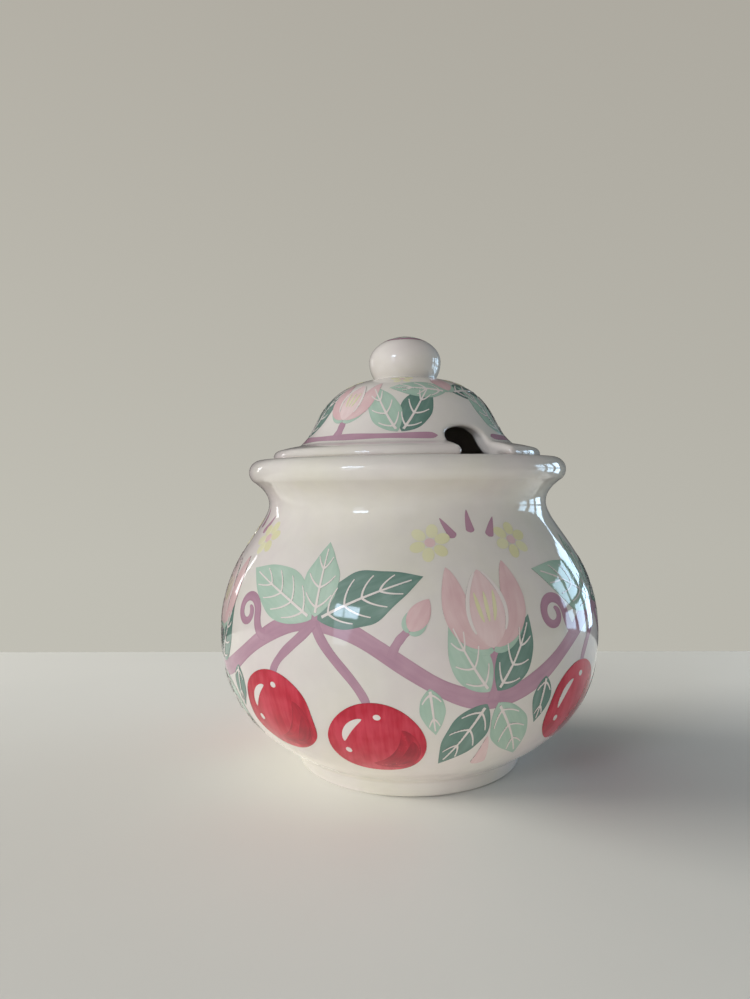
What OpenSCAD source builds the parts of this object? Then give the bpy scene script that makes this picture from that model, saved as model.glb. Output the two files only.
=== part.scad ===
// Round-bellied honey pot with a lift-off domed lid, a luted ball knob and a spoon notch.
// Millimetres, Z up. The origin is on the table, under the pot's axis. The front is -Y.

/* [Pot] */
// Diameter of the belly at its widest ring
belly_d = 110; // [104:1:118]
// Height of the belly's widest ring above the table
belly_z = 39.5; // [36:0.5:43]
// Diameter of the foot where it stands
foot_d = 65.4; // [60:0.1:72]
// Height of the foot's upright side
foot_h = 3.7; // [3:0.1:5]
// How much wider the foot is at its top than where it stands, on one side
foot_flare = 0.8; // [0:0.1:1.5]
// Run of the soft blend between the foot and the belly's underside
foot_fillet = 2; // [1:0.1:2.6]
// Rounding of the foot's standing edge
foot_edge = 1; // [0.3:0.1:1.4]
// Diameter of the neck at its narrowest ring
neck_d = 81.6; // [76:0.2:86]
// Height of the neck's narrowest ring
neck_z = 75.5; // [72:0.5:78]
// Height of the rim's flat top
rim_z = 88.2; // [87:0.1:92]
// How far the rolled rim stands out from the neck
rim_out = 5.65; // [4.8:0.05:7]
// Radius of the rim's rolled edge
roll_r = 3.6; // [3:0.1:4.2]
// Rounding of the mouth's inner edge
mouth_edge = 1.2; // [0.6:0.1:1.6]
// Thickness of the pot's wall
wall = 4.8; // [4:0.1:5.6]
// Thickness of the floor inside the foot ring
floor_t = 5.6; // [4:0.1:8]
// Width of the foot ring that stands on the table
ring_w = 5; // [3.5:0.1:7]
// Height of the hollow under the floor
recess_h = 2.4; // [1.2:0.1:3.4]

/* [Lid] */
// Width of the seat on the rim that the lid's flange covers
seat_w = 3.3; // [2.4:0.1:4.2]
// Rounding of the flange's outer edge
flange_edge = 2; // [1.4:0.1:2.4]
// Height of the flange at the end of its rounded edge
flange_h = 2.7; // [2.5:0.1:3.1]
// Width of the sloping flange from its edge to the crease at the dome's foot
flange_w = 8; // [7:0.1:9]
// Height of the crease at the dome's foot above the rim
dome_foot_h = 4.3; // [3.9:0.1:5.2]
// Height of the knob's seat above the rim
dome_h = 23.5; // [21:0.1:27]
// Diameter of the flat seat under the knob
knob_seat_d = 18.6; // [18:0.1:22]
// Thickness of the lid's wall
lid_wall = 4.5; // [3.8:0.1:5]
// Gap all round between the locating collar and the mouth
collar_gap = 0.9; // [0.4:0.1:1.4]
// Depth of the locating collar below the seat
collar_h = 4.7; // [3:0.1:7]
// Thickness of the locating collar
collar_t = 4.1; // [3.4:0.1:4.6]

/* [Spoon notch] */
// Width of the notch in the dome, between its upright walls
notch_w = 12.6; // [9:0.1:15]
// Width of the notch at the flange's outer edge, to which it widens through the flange
notch_mouth_w = 15.8; // [13:0.1:18]
// Height of the arch's crown above the rim
notch_h = 8; // [6.8:0.1:10]
// Height of the arch itself, from its springing to its crown
notch_arch_h = 3.4; // [2.6:0.1:5]
// Turn of the notch from the front towards +X, in degrees
notch_turn = 33; // [0:1:359]

/* [Knob] */
// Diameter of the knob at its widest ring
knob_d = 21.3; // [19:0.1:24]
// Height of the knob above its seat
knob_h = 12.8; // [10:0.1:16]
// Height of the knob's widest ring above its seat
knob_wide_h = 5.3; // [4.4:0.1:6.5]
// Diameter of the knob's flat base
knob_base_d = 17.8; // [15:0.1:18]

/* [Hidden] */
$fn = 128;
glaze_white = "#F1E9E4";
knob_white = "#F4EEEA";
// Slopes, in degrees from the horizontal
belly_leave = 31;    // the belly's underside where it leaves the foot
rim_under = 45;      // the rim's underside where it meets the roll
flange_slope = 164;  // the flange's top, going inwards
dome_slope = 140;    // the dome's wall where it leaves the crease
crown_slope = 170;   // the dome's crown where it meets the knob's seat
// Pulls of the cubic curves at their ends: a longer pull holds the slope for longer
foot_pull = 18.7;
belly_low_pull = 13;
belly_high_pull = 20.5;
neck_low_pull = 6.6;
neck_high_pull = 3.8;
rim_pull = 0.6;
flange_pull = 4.6;
crease_pull = 1;
dome_pull = 8.7;
crown_pull = 17.6;
// Share of a corner's two sides that a blend pulls along
blend = 0.6;
floor_run = 2.4;     // run of the blend between the floor and the wall
recess_draft = 0.2;  // how much the hollow under the floor narrows per millimetre of height
past = 2;            // how far a cutter runs past the face that it opens
// Steps of the lines: a fillet, a short curve and a long one
fillet_steps = 6;
short_steps = 12;
long_steps = 26;

foot_r = foot_d / 2;
ring_in_r = foot_r - ring_w;
belly_r = belly_d / 2;
neck_r = neck_d / 2;
mouth_r = neck_r - wall;
roll_c = [neck_r + rim_out - roll_r, rim_z - roll_r];
floor_z = recess_h + floor_t;
collar_r = mouth_r - collar_gap;
collar_in_r = collar_r - collar_t;
flange_r = mouth_r + seat_w;
dome_r = flange_r - flange_w;
seat_z = rim_z + dome_h;

// Unit vector at an angle
function dir(a) = [cos(a), sin(a)];

// Points of a cubic curve from p to s, leaving along the pull a and arriving along the pull b
function curve(p, a, b, s, n) =
    [for (i = [0:n]) let (t = i / n, u = 1 - t)
        u*u*u*p + 3*u*u*t*(p + a) + 3*u*t*t*(s - b) + t*t*t*s];

// Points of a blend from p to s that rounds the corner between them
function rounded(p, corner, s) = curve(p, blend * (corner - p), blend * (s - corner), s, fillet_steps);

// Points of an arc about c
function arc(c, r, from, to, n) = [for (i = [0:n]) c + r * dir(from + (to - from) * i / n)];

// A line without its first point, to join it to one that ends there
function rest(line) = [for (i = [1:len(line) - 1]) line[i]];

// A line moved to its left by w
function inset(line, w) =
    [for (i = [0:len(line) - 1])
        let (d = line[min(i + 1, len(line) - 1)] - line[max(i - 1, 0)])
        line[i] + w * [-d.y, d.x] / norm(d)];

// The belly's line from the foot to the widest ring and on to the neck
belly_start = [foot_r + foot_flare + foot_fillet, foot_h + foot_fillet];
belly_wide = [belly_r, belly_z];
belly_line = concat(
    curve(belly_start, foot_pull * dir(belly_leave), [0, belly_low_pull], belly_wide, long_steps),
    rest(curve(belly_wide, [0, belly_high_pull], [0, neck_low_pull], [neck_r, neck_z], long_steps)));

// The foot's line from where it stands up to the belly
function foot_line() =
    let (top = [foot_r + foot_flare, foot_h],
         corner = belly_start - foot_fillet * [1, tan(belly_leave)])
    concat(
        arc([foot_r - foot_edge, foot_edge], foot_edge, -90, 0, fillet_steps),
        rounded(top, corner, belly_start));

// The neck's line from its narrowest ring over the rolled rim to its flat top
function rim_line() =
    let (under = roll_c + roll_r * dir(-rim_under))
    concat(
        rest(curve([neck_r, neck_z], [0, neck_high_pull], rim_pull * dir(rim_under), under, short_steps)),
        rest(arc(roll_c, roll_r, -rim_under, 90, short_steps)));

// The cavity's line: the belly's wall moved in by its thickness, blended into the floor
function cavity_line() =
    let (side = [for (p = inset(belly_line, wall)) if (p.y > floor_z + 1) p],
         step = side[1] - side[0],
         knee = side[0] - step * (side[0].y - floor_z) / step.y)
    concat(rounded(knee - [floor_run, 0], knee, side[0]), rest(side));

// The lid's outer line from the flange's edge over the crease and the dome to the knob's seat
function lid_line() =
    let (edge_c = [flange_r - flange_edge, flange_h - flange_edge],
         edge_end = edge_c + flange_edge * dir(flange_slope - 90),
         crease = [dome_r, dome_foot_h],
         seat = [knob_seat_d / 2, dome_h])
    concat(
        arc(edge_c, flange_edge, 0, flange_slope - 90, fillet_steps),
        rest(curve(edge_end, flange_pull * dir(flange_slope), crease_pull * dir(dome_slope), crease,
                   short_steps)),
        rest(curve(crease, dome_pull * dir(dome_slope), crown_pull * dir(crown_slope), seat, long_steps)));

// The bowl with its rolled rim, standing on its foot ring
module pot_body() {
    color(glaze_white)
    difference() {
        rotate_extrude()
            polygon(concat([[0, 0]], foot_line(), rest(belly_line), rim_line(), [[0, rim_z]]));
        pot_cavity();
        translate([0, 0, -past])
            cylinder(r1 = ring_in_r + past * recess_draft, r2 = ring_in_r - recess_h * recess_draft,
                     h = recess_h + past);
    }
}

// The space inside the pot, which opens upwards through the mouth
module pot_cavity() {
    edge_c = [mouth_r + mouth_edge, rim_z - mouth_edge];
    rotate_extrude()
        polygon(concat([[0, floor_z]], cavity_line(), arc(edge_c, mouth_edge, 180, 90, fillet_steps),
                       [[mouth_r + mouth_edge, rim_z + past], [0, rim_z + past]]));
}

// The domed lid with its flange, its locating collar and the spoon notch
module lid_dome() {
    color(glaze_white)
    translate([0, 0, rim_z])
    difference() {
        rotate_extrude()
            polygon(concat([[0, -collar_h], [collar_r, -collar_h], [collar_r, 0], [flange_r, 0]],
                           lid_line(), [[0, dome_h]]));
        lid_cavity();
        spoon_notch();
    }
}

// The space under the dome and inside the collar
module lid_cavity() {
    under = [for (p = inset(lid_line(), lid_wall)) if (p.x < collar_in_r && p.x > 0) p];
    rotate_extrude()
        polygon(concat([[0, -collar_h - past], [collar_in_r, -collar_h - past],
                        [collar_in_r, under[0].y]], under, [[0, dome_h - lid_wall]]));
}

// The slot through flange, collar and dome wall, with an arched crown and a widening mouth
module spoon_notch() {
    half = notch_w / 2;
    spring_z = notch_h - notch_arch_h;
    bottom_z = -collar_h - past;
    arch = [for (a = [0:6:180]) [half * cos(a), spring_z + notch_arch_h * sin(a)]];
    // Half width of the widening slot at a distance from the axis
    function mouth(out) = half + (notch_mouth_w / 2 - half) * (out - dome_r) / flange_w;
    end = flange_r + past;
    rotate([0, 0, notch_turn]) {
        translate([0, -dome_r / 2, 0])
            rotate([90, 0, 0])
                linear_extrude(height = flange_r)
                    polygon(concat([[-half, bottom_z], [half, bottom_z]], arch));
        translate([0, 0, bottom_z])
            linear_extrude(height = dome_foot_h + past - bottom_z)
                polygon([[-half, -dome_r], [-mouth(end), -end], [mouth(end), -end], [half, -dome_r]]);
    }
}

// The ball knob, a squashed ball with a flat base that is luted to the dome
module lid_knob() {
    wide_r = knob_d / 2;
    base_a = acos(knob_base_d / knob_d);
    low_h = knob_wide_h / sin(base_a);
    high_h = knob_h - knob_wide_h;
    low = [for (i = [0:short_steps])
        let (a = -base_a * (1 - i / short_steps)) [wide_r * cos(a), low_h * sin(a)]];
    high = [for (a = [6:6:90]) [wide_r * cos(a), high_h * sin(a)]];
    color(knob_white)
    translate([0, 0, seat_z + knob_wide_h])
        rotate_extrude()
            polygon(concat([[0, -knob_wide_h]], low, high));
}

pot_body();
lid_dome();
lid_knob();
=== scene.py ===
"""A honey pot with a lift-off lid: glazed earthenware, painted by hand under the glaze.

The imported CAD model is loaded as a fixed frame. Each of its three nodes is replaced by a finer
mesh of the same form, and the painted decoration lies on these as thin slabs of colour.
Lengths are millimetres and angles degrees unless a docstring says otherwise, and MM turns
millimetres into Blender's metres. An azimuth is the angle about the pot's axis, from the front
(-Y) towards the viewer's right (+X). An arc height is the way up a form, measured on its surface.
"""

from __future__ import annotations

import logging
import math
from dataclasses import dataclass, field
from enum import Enum
from typing import Any, ClassVar, Iterable, NamedTuple

import bpy
import numpy as np
from bpy.types import Collection, Material, Mesh, Node, NodeSocket, NodeTree, Object
from mathutils import Matrix, Vector

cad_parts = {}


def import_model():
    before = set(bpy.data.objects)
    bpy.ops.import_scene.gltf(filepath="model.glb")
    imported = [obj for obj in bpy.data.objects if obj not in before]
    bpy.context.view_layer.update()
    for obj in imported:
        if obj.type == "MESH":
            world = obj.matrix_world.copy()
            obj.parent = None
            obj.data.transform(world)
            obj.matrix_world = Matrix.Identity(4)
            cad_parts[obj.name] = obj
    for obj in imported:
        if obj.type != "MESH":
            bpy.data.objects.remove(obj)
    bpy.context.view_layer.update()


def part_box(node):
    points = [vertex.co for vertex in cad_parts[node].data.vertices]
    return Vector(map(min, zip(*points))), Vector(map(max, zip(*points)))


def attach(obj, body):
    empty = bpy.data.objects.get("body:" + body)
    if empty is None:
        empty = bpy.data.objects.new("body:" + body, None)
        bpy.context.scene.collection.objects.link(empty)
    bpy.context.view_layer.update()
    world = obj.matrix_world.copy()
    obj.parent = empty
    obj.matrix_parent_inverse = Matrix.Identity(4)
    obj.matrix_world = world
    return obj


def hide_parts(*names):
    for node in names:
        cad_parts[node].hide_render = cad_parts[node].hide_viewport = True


MM = 0.001
LOG = logging.getLogger("honey_pot")
# Slope at which the belly's underside leaves the foot
BELLY_LEAVE = 31.0
# Share of a corner's two sides that a blend pulls along
BLEND = 0.6
# Strokes take their streaks from places up to this far apart
BRUSH_RANGE = 400
# A distance that is past every surface of the lid
FAR = 50.0
# How many points are measured at a time, to save memory
CHUNK = 8000
# Keeps divisions off zero
TINY = 1e-12


def linear(code: str) -> tuple[float, float, float, float]:
    """Turns an sRGB hex colour into linear red, green, blue and alpha.

    Args:
        code: A colour such as "#E8E0D6".

    Returns:
        The colour as Blender's shaders read it.
    """
    channels = [int(code[i:i + 2], 16) / 255 for i in (1, 3, 5)]
    curve = [c / 12.92 if c <= 0.04045 else ((c + 0.055) / 1.055) ** 2.4 for c in channels]
    return (curve[0], curve[1], curve[2], 1.0)


def add_node(tree: NodeTree, kind: str, settings: dict[str, Any] | None = None,
             inputs: dict[Any, Any] | None = None) -> Node:
    """Adds a node to a shader or geometry tree.

    Args:
        tree: The tree that gets the node.
        kind: The node's type name.
        settings: Properties to set on the node before its sockets are used.
        inputs: Input sockets by name or index. A socket as value is linked, all else is set.

    Returns:
        The new node.
    """
    node = tree.nodes.new(kind)
    for name, value in (settings or {}).items():
        setattr(node, name, value)
    for key, value in (inputs or {}).items():
        if isinstance(value, NodeSocket):
            tree.links.new(value, node.inputs[key])
        else:
            node.inputs[key].default_value = value
    return node


# Curves that the forms are drawn with


def direction(degrees: float) -> np.ndarray:
    """Unit vector at an angle in the plane of radius and height."""
    return np.array([math.cos(math.radians(degrees)), math.sin(math.radians(degrees))])


def cubic(start: Iterable[float], leave: np.ndarray, arrive: np.ndarray, end: Iterable[float],
          steps: int) -> np.ndarray:
    """Points of a cubic curve.

    Args:
        start: Where it starts.
        leave: The pull along which it leaves.
        arrive: The pull along which it arrives.
        end: Where it ends.
        steps: How many steps it is cut into.

    Returns:
        An array of steps + 1 points.
    """
    start, end = np.asarray(start, float), np.asarray(end, float)
    t = np.linspace(0, 1, steps + 1)[:, None]
    u = 1 - t
    return u**3 * start + 3 * u * u * t * (start + leave) + 3 * u * t * t * (end - arrive) + t**3 * end


def arc(centre: Iterable[float], radius: float, start: float, end: float, steps: int) -> np.ndarray:
    """Points of an arc between two angles in degrees."""
    angles = np.radians(np.linspace(start, end, steps + 1))
    return np.asarray(centre, float) + radius * np.stack([np.cos(angles), np.sin(angles)], 1)


def inset(line: np.ndarray, distance: float) -> np.ndarray:
    """Moves a line sideways.

    Args:
        line: The line's points.
        distance: How far it moves to its left.

    Returns:
        The moved points, one for each.
    """
    step = np.gradient(line, axis=0)
    step /= np.linalg.norm(step, axis=1)[:, None]
    return line + distance * np.stack([-step[:, 1], step[:, 0]], 1)


def joined(*parts: np.ndarray) -> np.ndarray:
    """Joins lines into one, without points that repeat the one before.

    Args:
        *parts: Lines or single points, in order.

    Returns:
        The points of the whole line.
    """
    line = np.concatenate([np.atleast_2d(np.asarray(p, float)) for p in parts])
    keep = np.r_[True, np.linalg.norm(np.diff(line, axis=0), axis=1) > 1e-6]
    return line[keep]


def towards(azimuth: float, elevation: float) -> Vector:
    """Unit vector from the pot towards an azimuth and an elevation in degrees."""
    a, e = math.radians(azimuth), math.radians(elevation)
    return Vector((math.sin(a) * math.cos(e), -math.cos(a) * math.cos(e), math.sin(e)))


# Finishes


def new_material(name: str) -> Material:
    """Starts a material with an empty node tree.

    Args:
        name: The material's name.

    Returns:
        The material.
    """
    material = bpy.data.materials.new(name)
    material.use_nodes = True
    material.node_tree.nodes.clear()
    return material


class Pigment(Enum):
    """The underglaze colours, by the name of the record's material slot."""

    RED = "underglaze_red"
    MAUVE = "underglaze_mauve"
    MINT = "underglaze_mint"
    SAGE = "underglaze_sage"
    PINK = "underglaze_pink"
    YELLOW = "underglaze_yellow"
    WHITE = "pot_glaze"


@dataclass(frozen=True)
class ClearGlaze:
    """The clear gloss glaze that runs over body and paint alike.

    Fired earthenware glaze is glass with an IOR near 1.5. It settles in soft, slightly
    upright runs, which break up the edges of reflected windows.

    Attributes:
        ior: The glaze's index of refraction.
        roughness: How much the glaze softens what it mirrors.
        run_width: Width of a run.
        run_stretch: A run's width as a share of its height.
        run_depth: How deep the runs are.
    """

    ior: float = 1.5
    roughness: float = 0.055
    run_width: float = 6.0
    run_stretch: float = 0.3
    run_depth: float = 0.11

    def coat(self, tree: NodeTree, colour: NodeSocket) -> None:
        """Covers a colour with the glaze.

        Args:
            tree: The material's emptied node tree.
            colour: The colour under the glaze.
        """
        place = add_node(tree, "ShaderNodeTexCoord")
        runs = add_node(tree, "ShaderNodeMapping", {"vector_type": "POINT"}, {
            "Vector": place.outputs["Object"],
            "Scale": (1.0, 1.0, self.run_stretch),
        })
        height = add_node(tree, "ShaderNodeTexNoise", {"noise_dimensions": "3D"}, {
            "Vector": runs.outputs["Vector"],
            "Scale": 1 / (self.run_width * MM),
            "Detail": 2.0,
            "Roughness": 0.45,
        })
        ripple = add_node(tree, "ShaderNodeBump", None, {
            "Strength": 1.0,
            "Distance": self.run_depth * MM,
            "Height": height.outputs["Fac"],
        })
        shader = add_node(tree, "ShaderNodeBsdfPrincipled", None, {
            "Base Color": colour,
            "Roughness": self.roughness,
            "IOR": self.ior,
            "Normal": ripple.outputs["Normal"],
        })
        add_node(tree, "ShaderNodeOutputMaterial", None, {"Surface": shader.outputs["BSDF"]})


@dataclass(frozen=True)
class WhiteEarthenware:
    """Warm white earthenware body seen through clear glaze.

    The body fires a touch uneven: broad clouds of cream and pale pink, and glaze that
    gathers a little thicker and greyer in places.

    Attributes:
        name: The material's name.
        body: The body's colour.
        cream: Its colour in the creamy clouds.
        blush: Its colour in the pink clouds.
        cloud: Size of a cloud.
        fleck: Size of a patch of thicker glaze.
        glaze: The glaze over it.
    """

    name: str = "white_earthenware_clear_glaze"
    body: str = "#E5DED6"
    cream: str = "#E4DED1"
    blush: str = "#E4D9D5"
    cloud: float = 26.0
    fleck: float = 5.0
    glaze: ClearGlaze = ClearGlaze()

    def build(self) -> Material:
        """Makes the material.

        Returns:
            The material.
        """
        material = new_material(self.name)
        tree = material.node_tree
        place = add_node(tree, "ShaderNodeTexCoord")
        clouds = add_node(tree, "ShaderNodeTexNoise", None, {
            "Vector": place.outputs["Object"],
            "Scale": 1 / (self.cloud * MM),
            "Detail": 3.0,
        })
        tint = add_node(tree, "ShaderNodeValToRGB", None, {"Fac": clouds.outputs["Fac"]})
        ends = ((0.32, self.cream), (0.68, self.blush))
        for stop, (position, colour) in zip(tint.color_ramp.elements, ends):
            stop.position = position
            stop.color = linear(colour)
        tint.color_ramp.elements.new(0.5).color = linear(self.body)
        flecks = add_node(tree, "ShaderNodeTexNoise", None, {
            "Vector": place.outputs["Object"],
            "Scale": 1 / (self.fleck * MM),
            "Detail": 4.0,
        })
        depth = add_node(tree, "ShaderNodeMapRange", None, {
            "Value": flecks.outputs["Fac"], "From Min": 0.3, "From Max": 0.7, "To Min": 0.96, "To Max": 1.0,
        })
        shade = add_node(tree, "ShaderNodeVectorMath", {"operation": "SCALE"}, {
            0: tint.outputs["Color"], "Scale": depth.outputs["Result"],
        })
        self.glaze.coat(tree, shade.outputs["Vector"])
        return material


@dataclass(frozen=True)
class UnderglazePaint:
    """Underglaze colour laid on with a soft brush, then covered with clear glaze.

    The brush leaves streaks along its way, thin where it was dry and dark where it was
    loaded, and the colour gathers along a stroke's edges. The mesh says in the attribute
    "brush" how far along and across its stroke a point lies, in millimetres.

    Attributes:
        name: The material's name.
        thin: The colour where the brush was dry.
        body: The colour's middle tone.
        loaded: The colour where the brush was loaded.
        streak: How strongly streaks and washes show.
        glaze: The glaze over it.
        streak_long: Length of a streak.
        streak_wide: Width of a streak.
        wash: Size of a wash of thicker colour.
    """

    name: str
    thin: str
    body: str
    loaded: str
    streak: float = 1.0
    glaze: ClearGlaze = ClearGlaze()
    streak_long: float = 12.0
    streak_wide: float = 1.5
    wash: float = 6.0

    def build(self) -> Material:
        """Makes the material.

        Returns:
            The material.
        """
        material = new_material(self.name)
        tree = material.node_tree
        brush = add_node(tree, "ShaderNodeAttribute", {"attribute_name": "brush"})
        tone = add_node(tree, "ShaderNodeAttribute", {"attribute_name": "tone"})
        edge = add_node(tree, "ShaderNodeAttribute", {"attribute_name": "edge"})
        along = add_node(tree, "ShaderNodeMapping", {"vector_type": "POINT"}, {
            "Vector": brush.outputs["Vector"],
            "Scale": (1 / self.streak_long, 1 / self.streak_wide, 1.0),
        })
        streaks = add_node(tree, "ShaderNodeTexNoise", None, {
            "Vector": along.outputs["Vector"], "Scale": 1.0, "Detail": 3.0, "Roughness": 0.6,
        })
        washes = add_node(tree, "ShaderNodeTexNoise", None, {
            "Vector": brush.outputs["Vector"], "Scale": 1 / self.wash, "Detail": 2.0,
        })
        both = add_node(tree, "ShaderNodeMath", {"operation": "ADD"}, {
            0: streaks.outputs["Fac"], 1: washes.outputs["Fac"],
        })
        load = add_node(tree, "ShaderNodeMath", {"operation": "MULTIPLY_ADD"}, {
            0: both.outputs["Value"], 1: self.streak, 2: 0.5 - self.streak,
        })
        toned = add_node(tree, "ShaderNodeMath", {"operation": "ADD"}, {
            0: load.outputs["Value"], 1: tone.outputs["Fac"],
        })
        pooled = add_node(tree, "ShaderNodeMapRange", {"interpolation_type": "SMOOTHSTEP"}, {
            "Value": edge.outputs["Fac"], "From Min": 0.75, "From Max": 1.0, "To Min": 0.0, "To Max": 0.14,
        })
        loaded = add_node(tree, "ShaderNodeMath", {"operation": "ADD"}, {
            0: toned.outputs["Value"], 1: pooled.outputs["Result"],
        })
        ramp = add_node(tree, "ShaderNodeValToRGB", None, {"Fac": loaded.outputs["Value"]})
        ends = ((0.15, self.thin), (0.9, self.loaded))
        for stop, (position, colour) in zip(ramp.color_ramp.elements, ends):
            stop.position = position
            stop.color = linear(colour)
        ramp.color_ramp.elements.new(0.5).color = linear(self.body)
        self.glaze.coat(tree, ramp.outputs["Color"])
        return material


PAINTS = {
    Pigment.RED: UnderglazePaint("red_underglaze", "#D23A50", "#C01834", "#980828", 1.0),
    Pigment.MAUVE: UnderglazePaint("mauve_underglaze", "#C69FAE", "#B88FA0", "#A87E92", 0.6),
    Pigment.MINT: UnderglazePaint("mint_underglaze", "#C4D6C7", "#B1C9B7", "#9DBBA8", 0.6),
    Pigment.SAGE: UnderglazePaint("sage_underglaze", "#8BA399", "#6E8D81", "#5A796F", 0.7),
    Pigment.PINK: UnderglazePaint("pink_underglaze", "#EBD3D0", "#E3C4C2", "#D9B0B2", 0.7),
    Pigment.YELLOW: UnderglazePaint("yellow_underglaze", "#EAE6C6", "#E4DFB6", "#DBD4A0", 0.6),
    Pigment.WHITE: UnderglazePaint("white_slip_line", "#EDE6E0", "#EAE0DA", "#E6D8D2", 0.5),
}


# Geometry Nodes trees


def new_tree(name: str, inputs: dict[str, str]) -> NodeTree:
    """Starts a Geometry Nodes tree.

    Args:
        name: The tree's name.
        inputs: Input names and their socket types.

    Returns:
        The tree, with its inputs and one geometry output.
    """
    tree = bpy.data.node_groups.new(name, "GeometryNodeTree")
    for label, kind in inputs.items():
        tree.interface.new_socket(label, in_out="INPUT", socket_type=kind)
    tree.interface.new_socket("Piece", in_out="OUTPUT", socket_type="NodeSocketGeometry")
    return tree


def finish_tree(tree: NodeTree, geometry: NodeSocket,
                finish: NodeSocket) -> None:
    """Ends a tree in smooth shading, real geometry and its material.

    Args:
        tree: The tree to end.
        geometry: What it has made.
        finish: The material.
    """
    smooth = add_node(tree, "GeometryNodeSetShadeSmooth", None, {"Geometry": geometry})
    real = add_node(tree, "GeometryNodeRealizeInstances", None, {"Geometry": smooth.outputs[0]})
    dressed = add_node(tree, "GeometryNodeSetMaterial", None, {
        "Geometry": real.outputs[0], "Material": finish,
    })
    add_node(tree, "NodeGroupOutput", None, {"Piece": dressed.outputs[0]})


def thrown_form_tree() -> NodeTree:
    """A tree that turns an outline about the Z axis, as a form grows on a potter's wheel.

    The outline is a mesh line of (radius, 0, height). Its ends lie on the axis.

    Returns:
        The tree, with the inputs Outline, Turns and Finish.
    """
    tree = new_tree("thrown_form", {
        "Outline": "NodeSocketGeometry", "Turns": "NodeSocketInt", "Finish": "NodeSocketMaterial",
    })
    given = add_node(tree, "NodeGroupInput")
    size = add_node(tree, "GeometryNodeAttributeDomainSize", {"component": "MESH"}, {
        "Geometry": given.outputs["Outline"],
    })
    round_count = add_node(tree, "FunctionNodeIntegerMath", {"operation": "ADD"}, {
        0: given.outputs["Turns"], 1: 1,
    })
    grid = add_node(tree, "GeometryNodeMeshGrid", None, {
        "Vertices X": size.outputs["Point Count"], "Vertices Y": round_count.outputs[0],
    })
    index = add_node(tree, "GeometryNodeInputIndex")
    up = add_node(tree, "FunctionNodeIntegerMath", {"operation": "DIVIDE_FLOOR"}, {
        0: index.outputs[0], 1: round_count.outputs[0],
    })
    around = add_node(tree, "FunctionNodeIntegerMath", {"operation": "MODULO"}, {
        0: index.outputs[0], 1: round_count.outputs[0],
    })
    position = add_node(tree, "GeometryNodeInputPosition")
    sample = add_node(tree, "GeometryNodeSampleIndex", {"data_type": "FLOAT_VECTOR"}, {
        "Geometry": given.outputs["Outline"], "Value": position.outputs[0], "Index": up.outputs[0],
    })
    part = add_node(tree, "ShaderNodeMath", {"operation": "DIVIDE"}, {
        0: around.outputs[0], 1: given.outputs["Turns"],
    })
    angle = add_node(tree, "ShaderNodeMath", {"operation": "MULTIPLY"}, {0: part.outputs[0], 1: math.tau})
    turn = add_node(tree, "ShaderNodeVectorRotate", {"rotation_type": "Z_AXIS"}, {
        "Vector": sample.outputs[0], "Angle": angle.outputs[0],
    })
    placed = add_node(tree, "GeometryNodeSetPosition", None, {
        "Geometry": grid.outputs["Mesh"], "Position": turn.outputs[0],
    })
    closed = add_node(tree, "GeometryNodeMergeByDistance", None, {
        "Geometry": placed.outputs[0], "Distance": 0.0005 * MM,
    })
    outward = add_node(tree, "GeometryNodeFlipFaces", None, {"Mesh": closed.outputs[0]})
    finish_tree(tree, outward.outputs[0], given.outputs["Finish"])
    return tree


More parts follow.
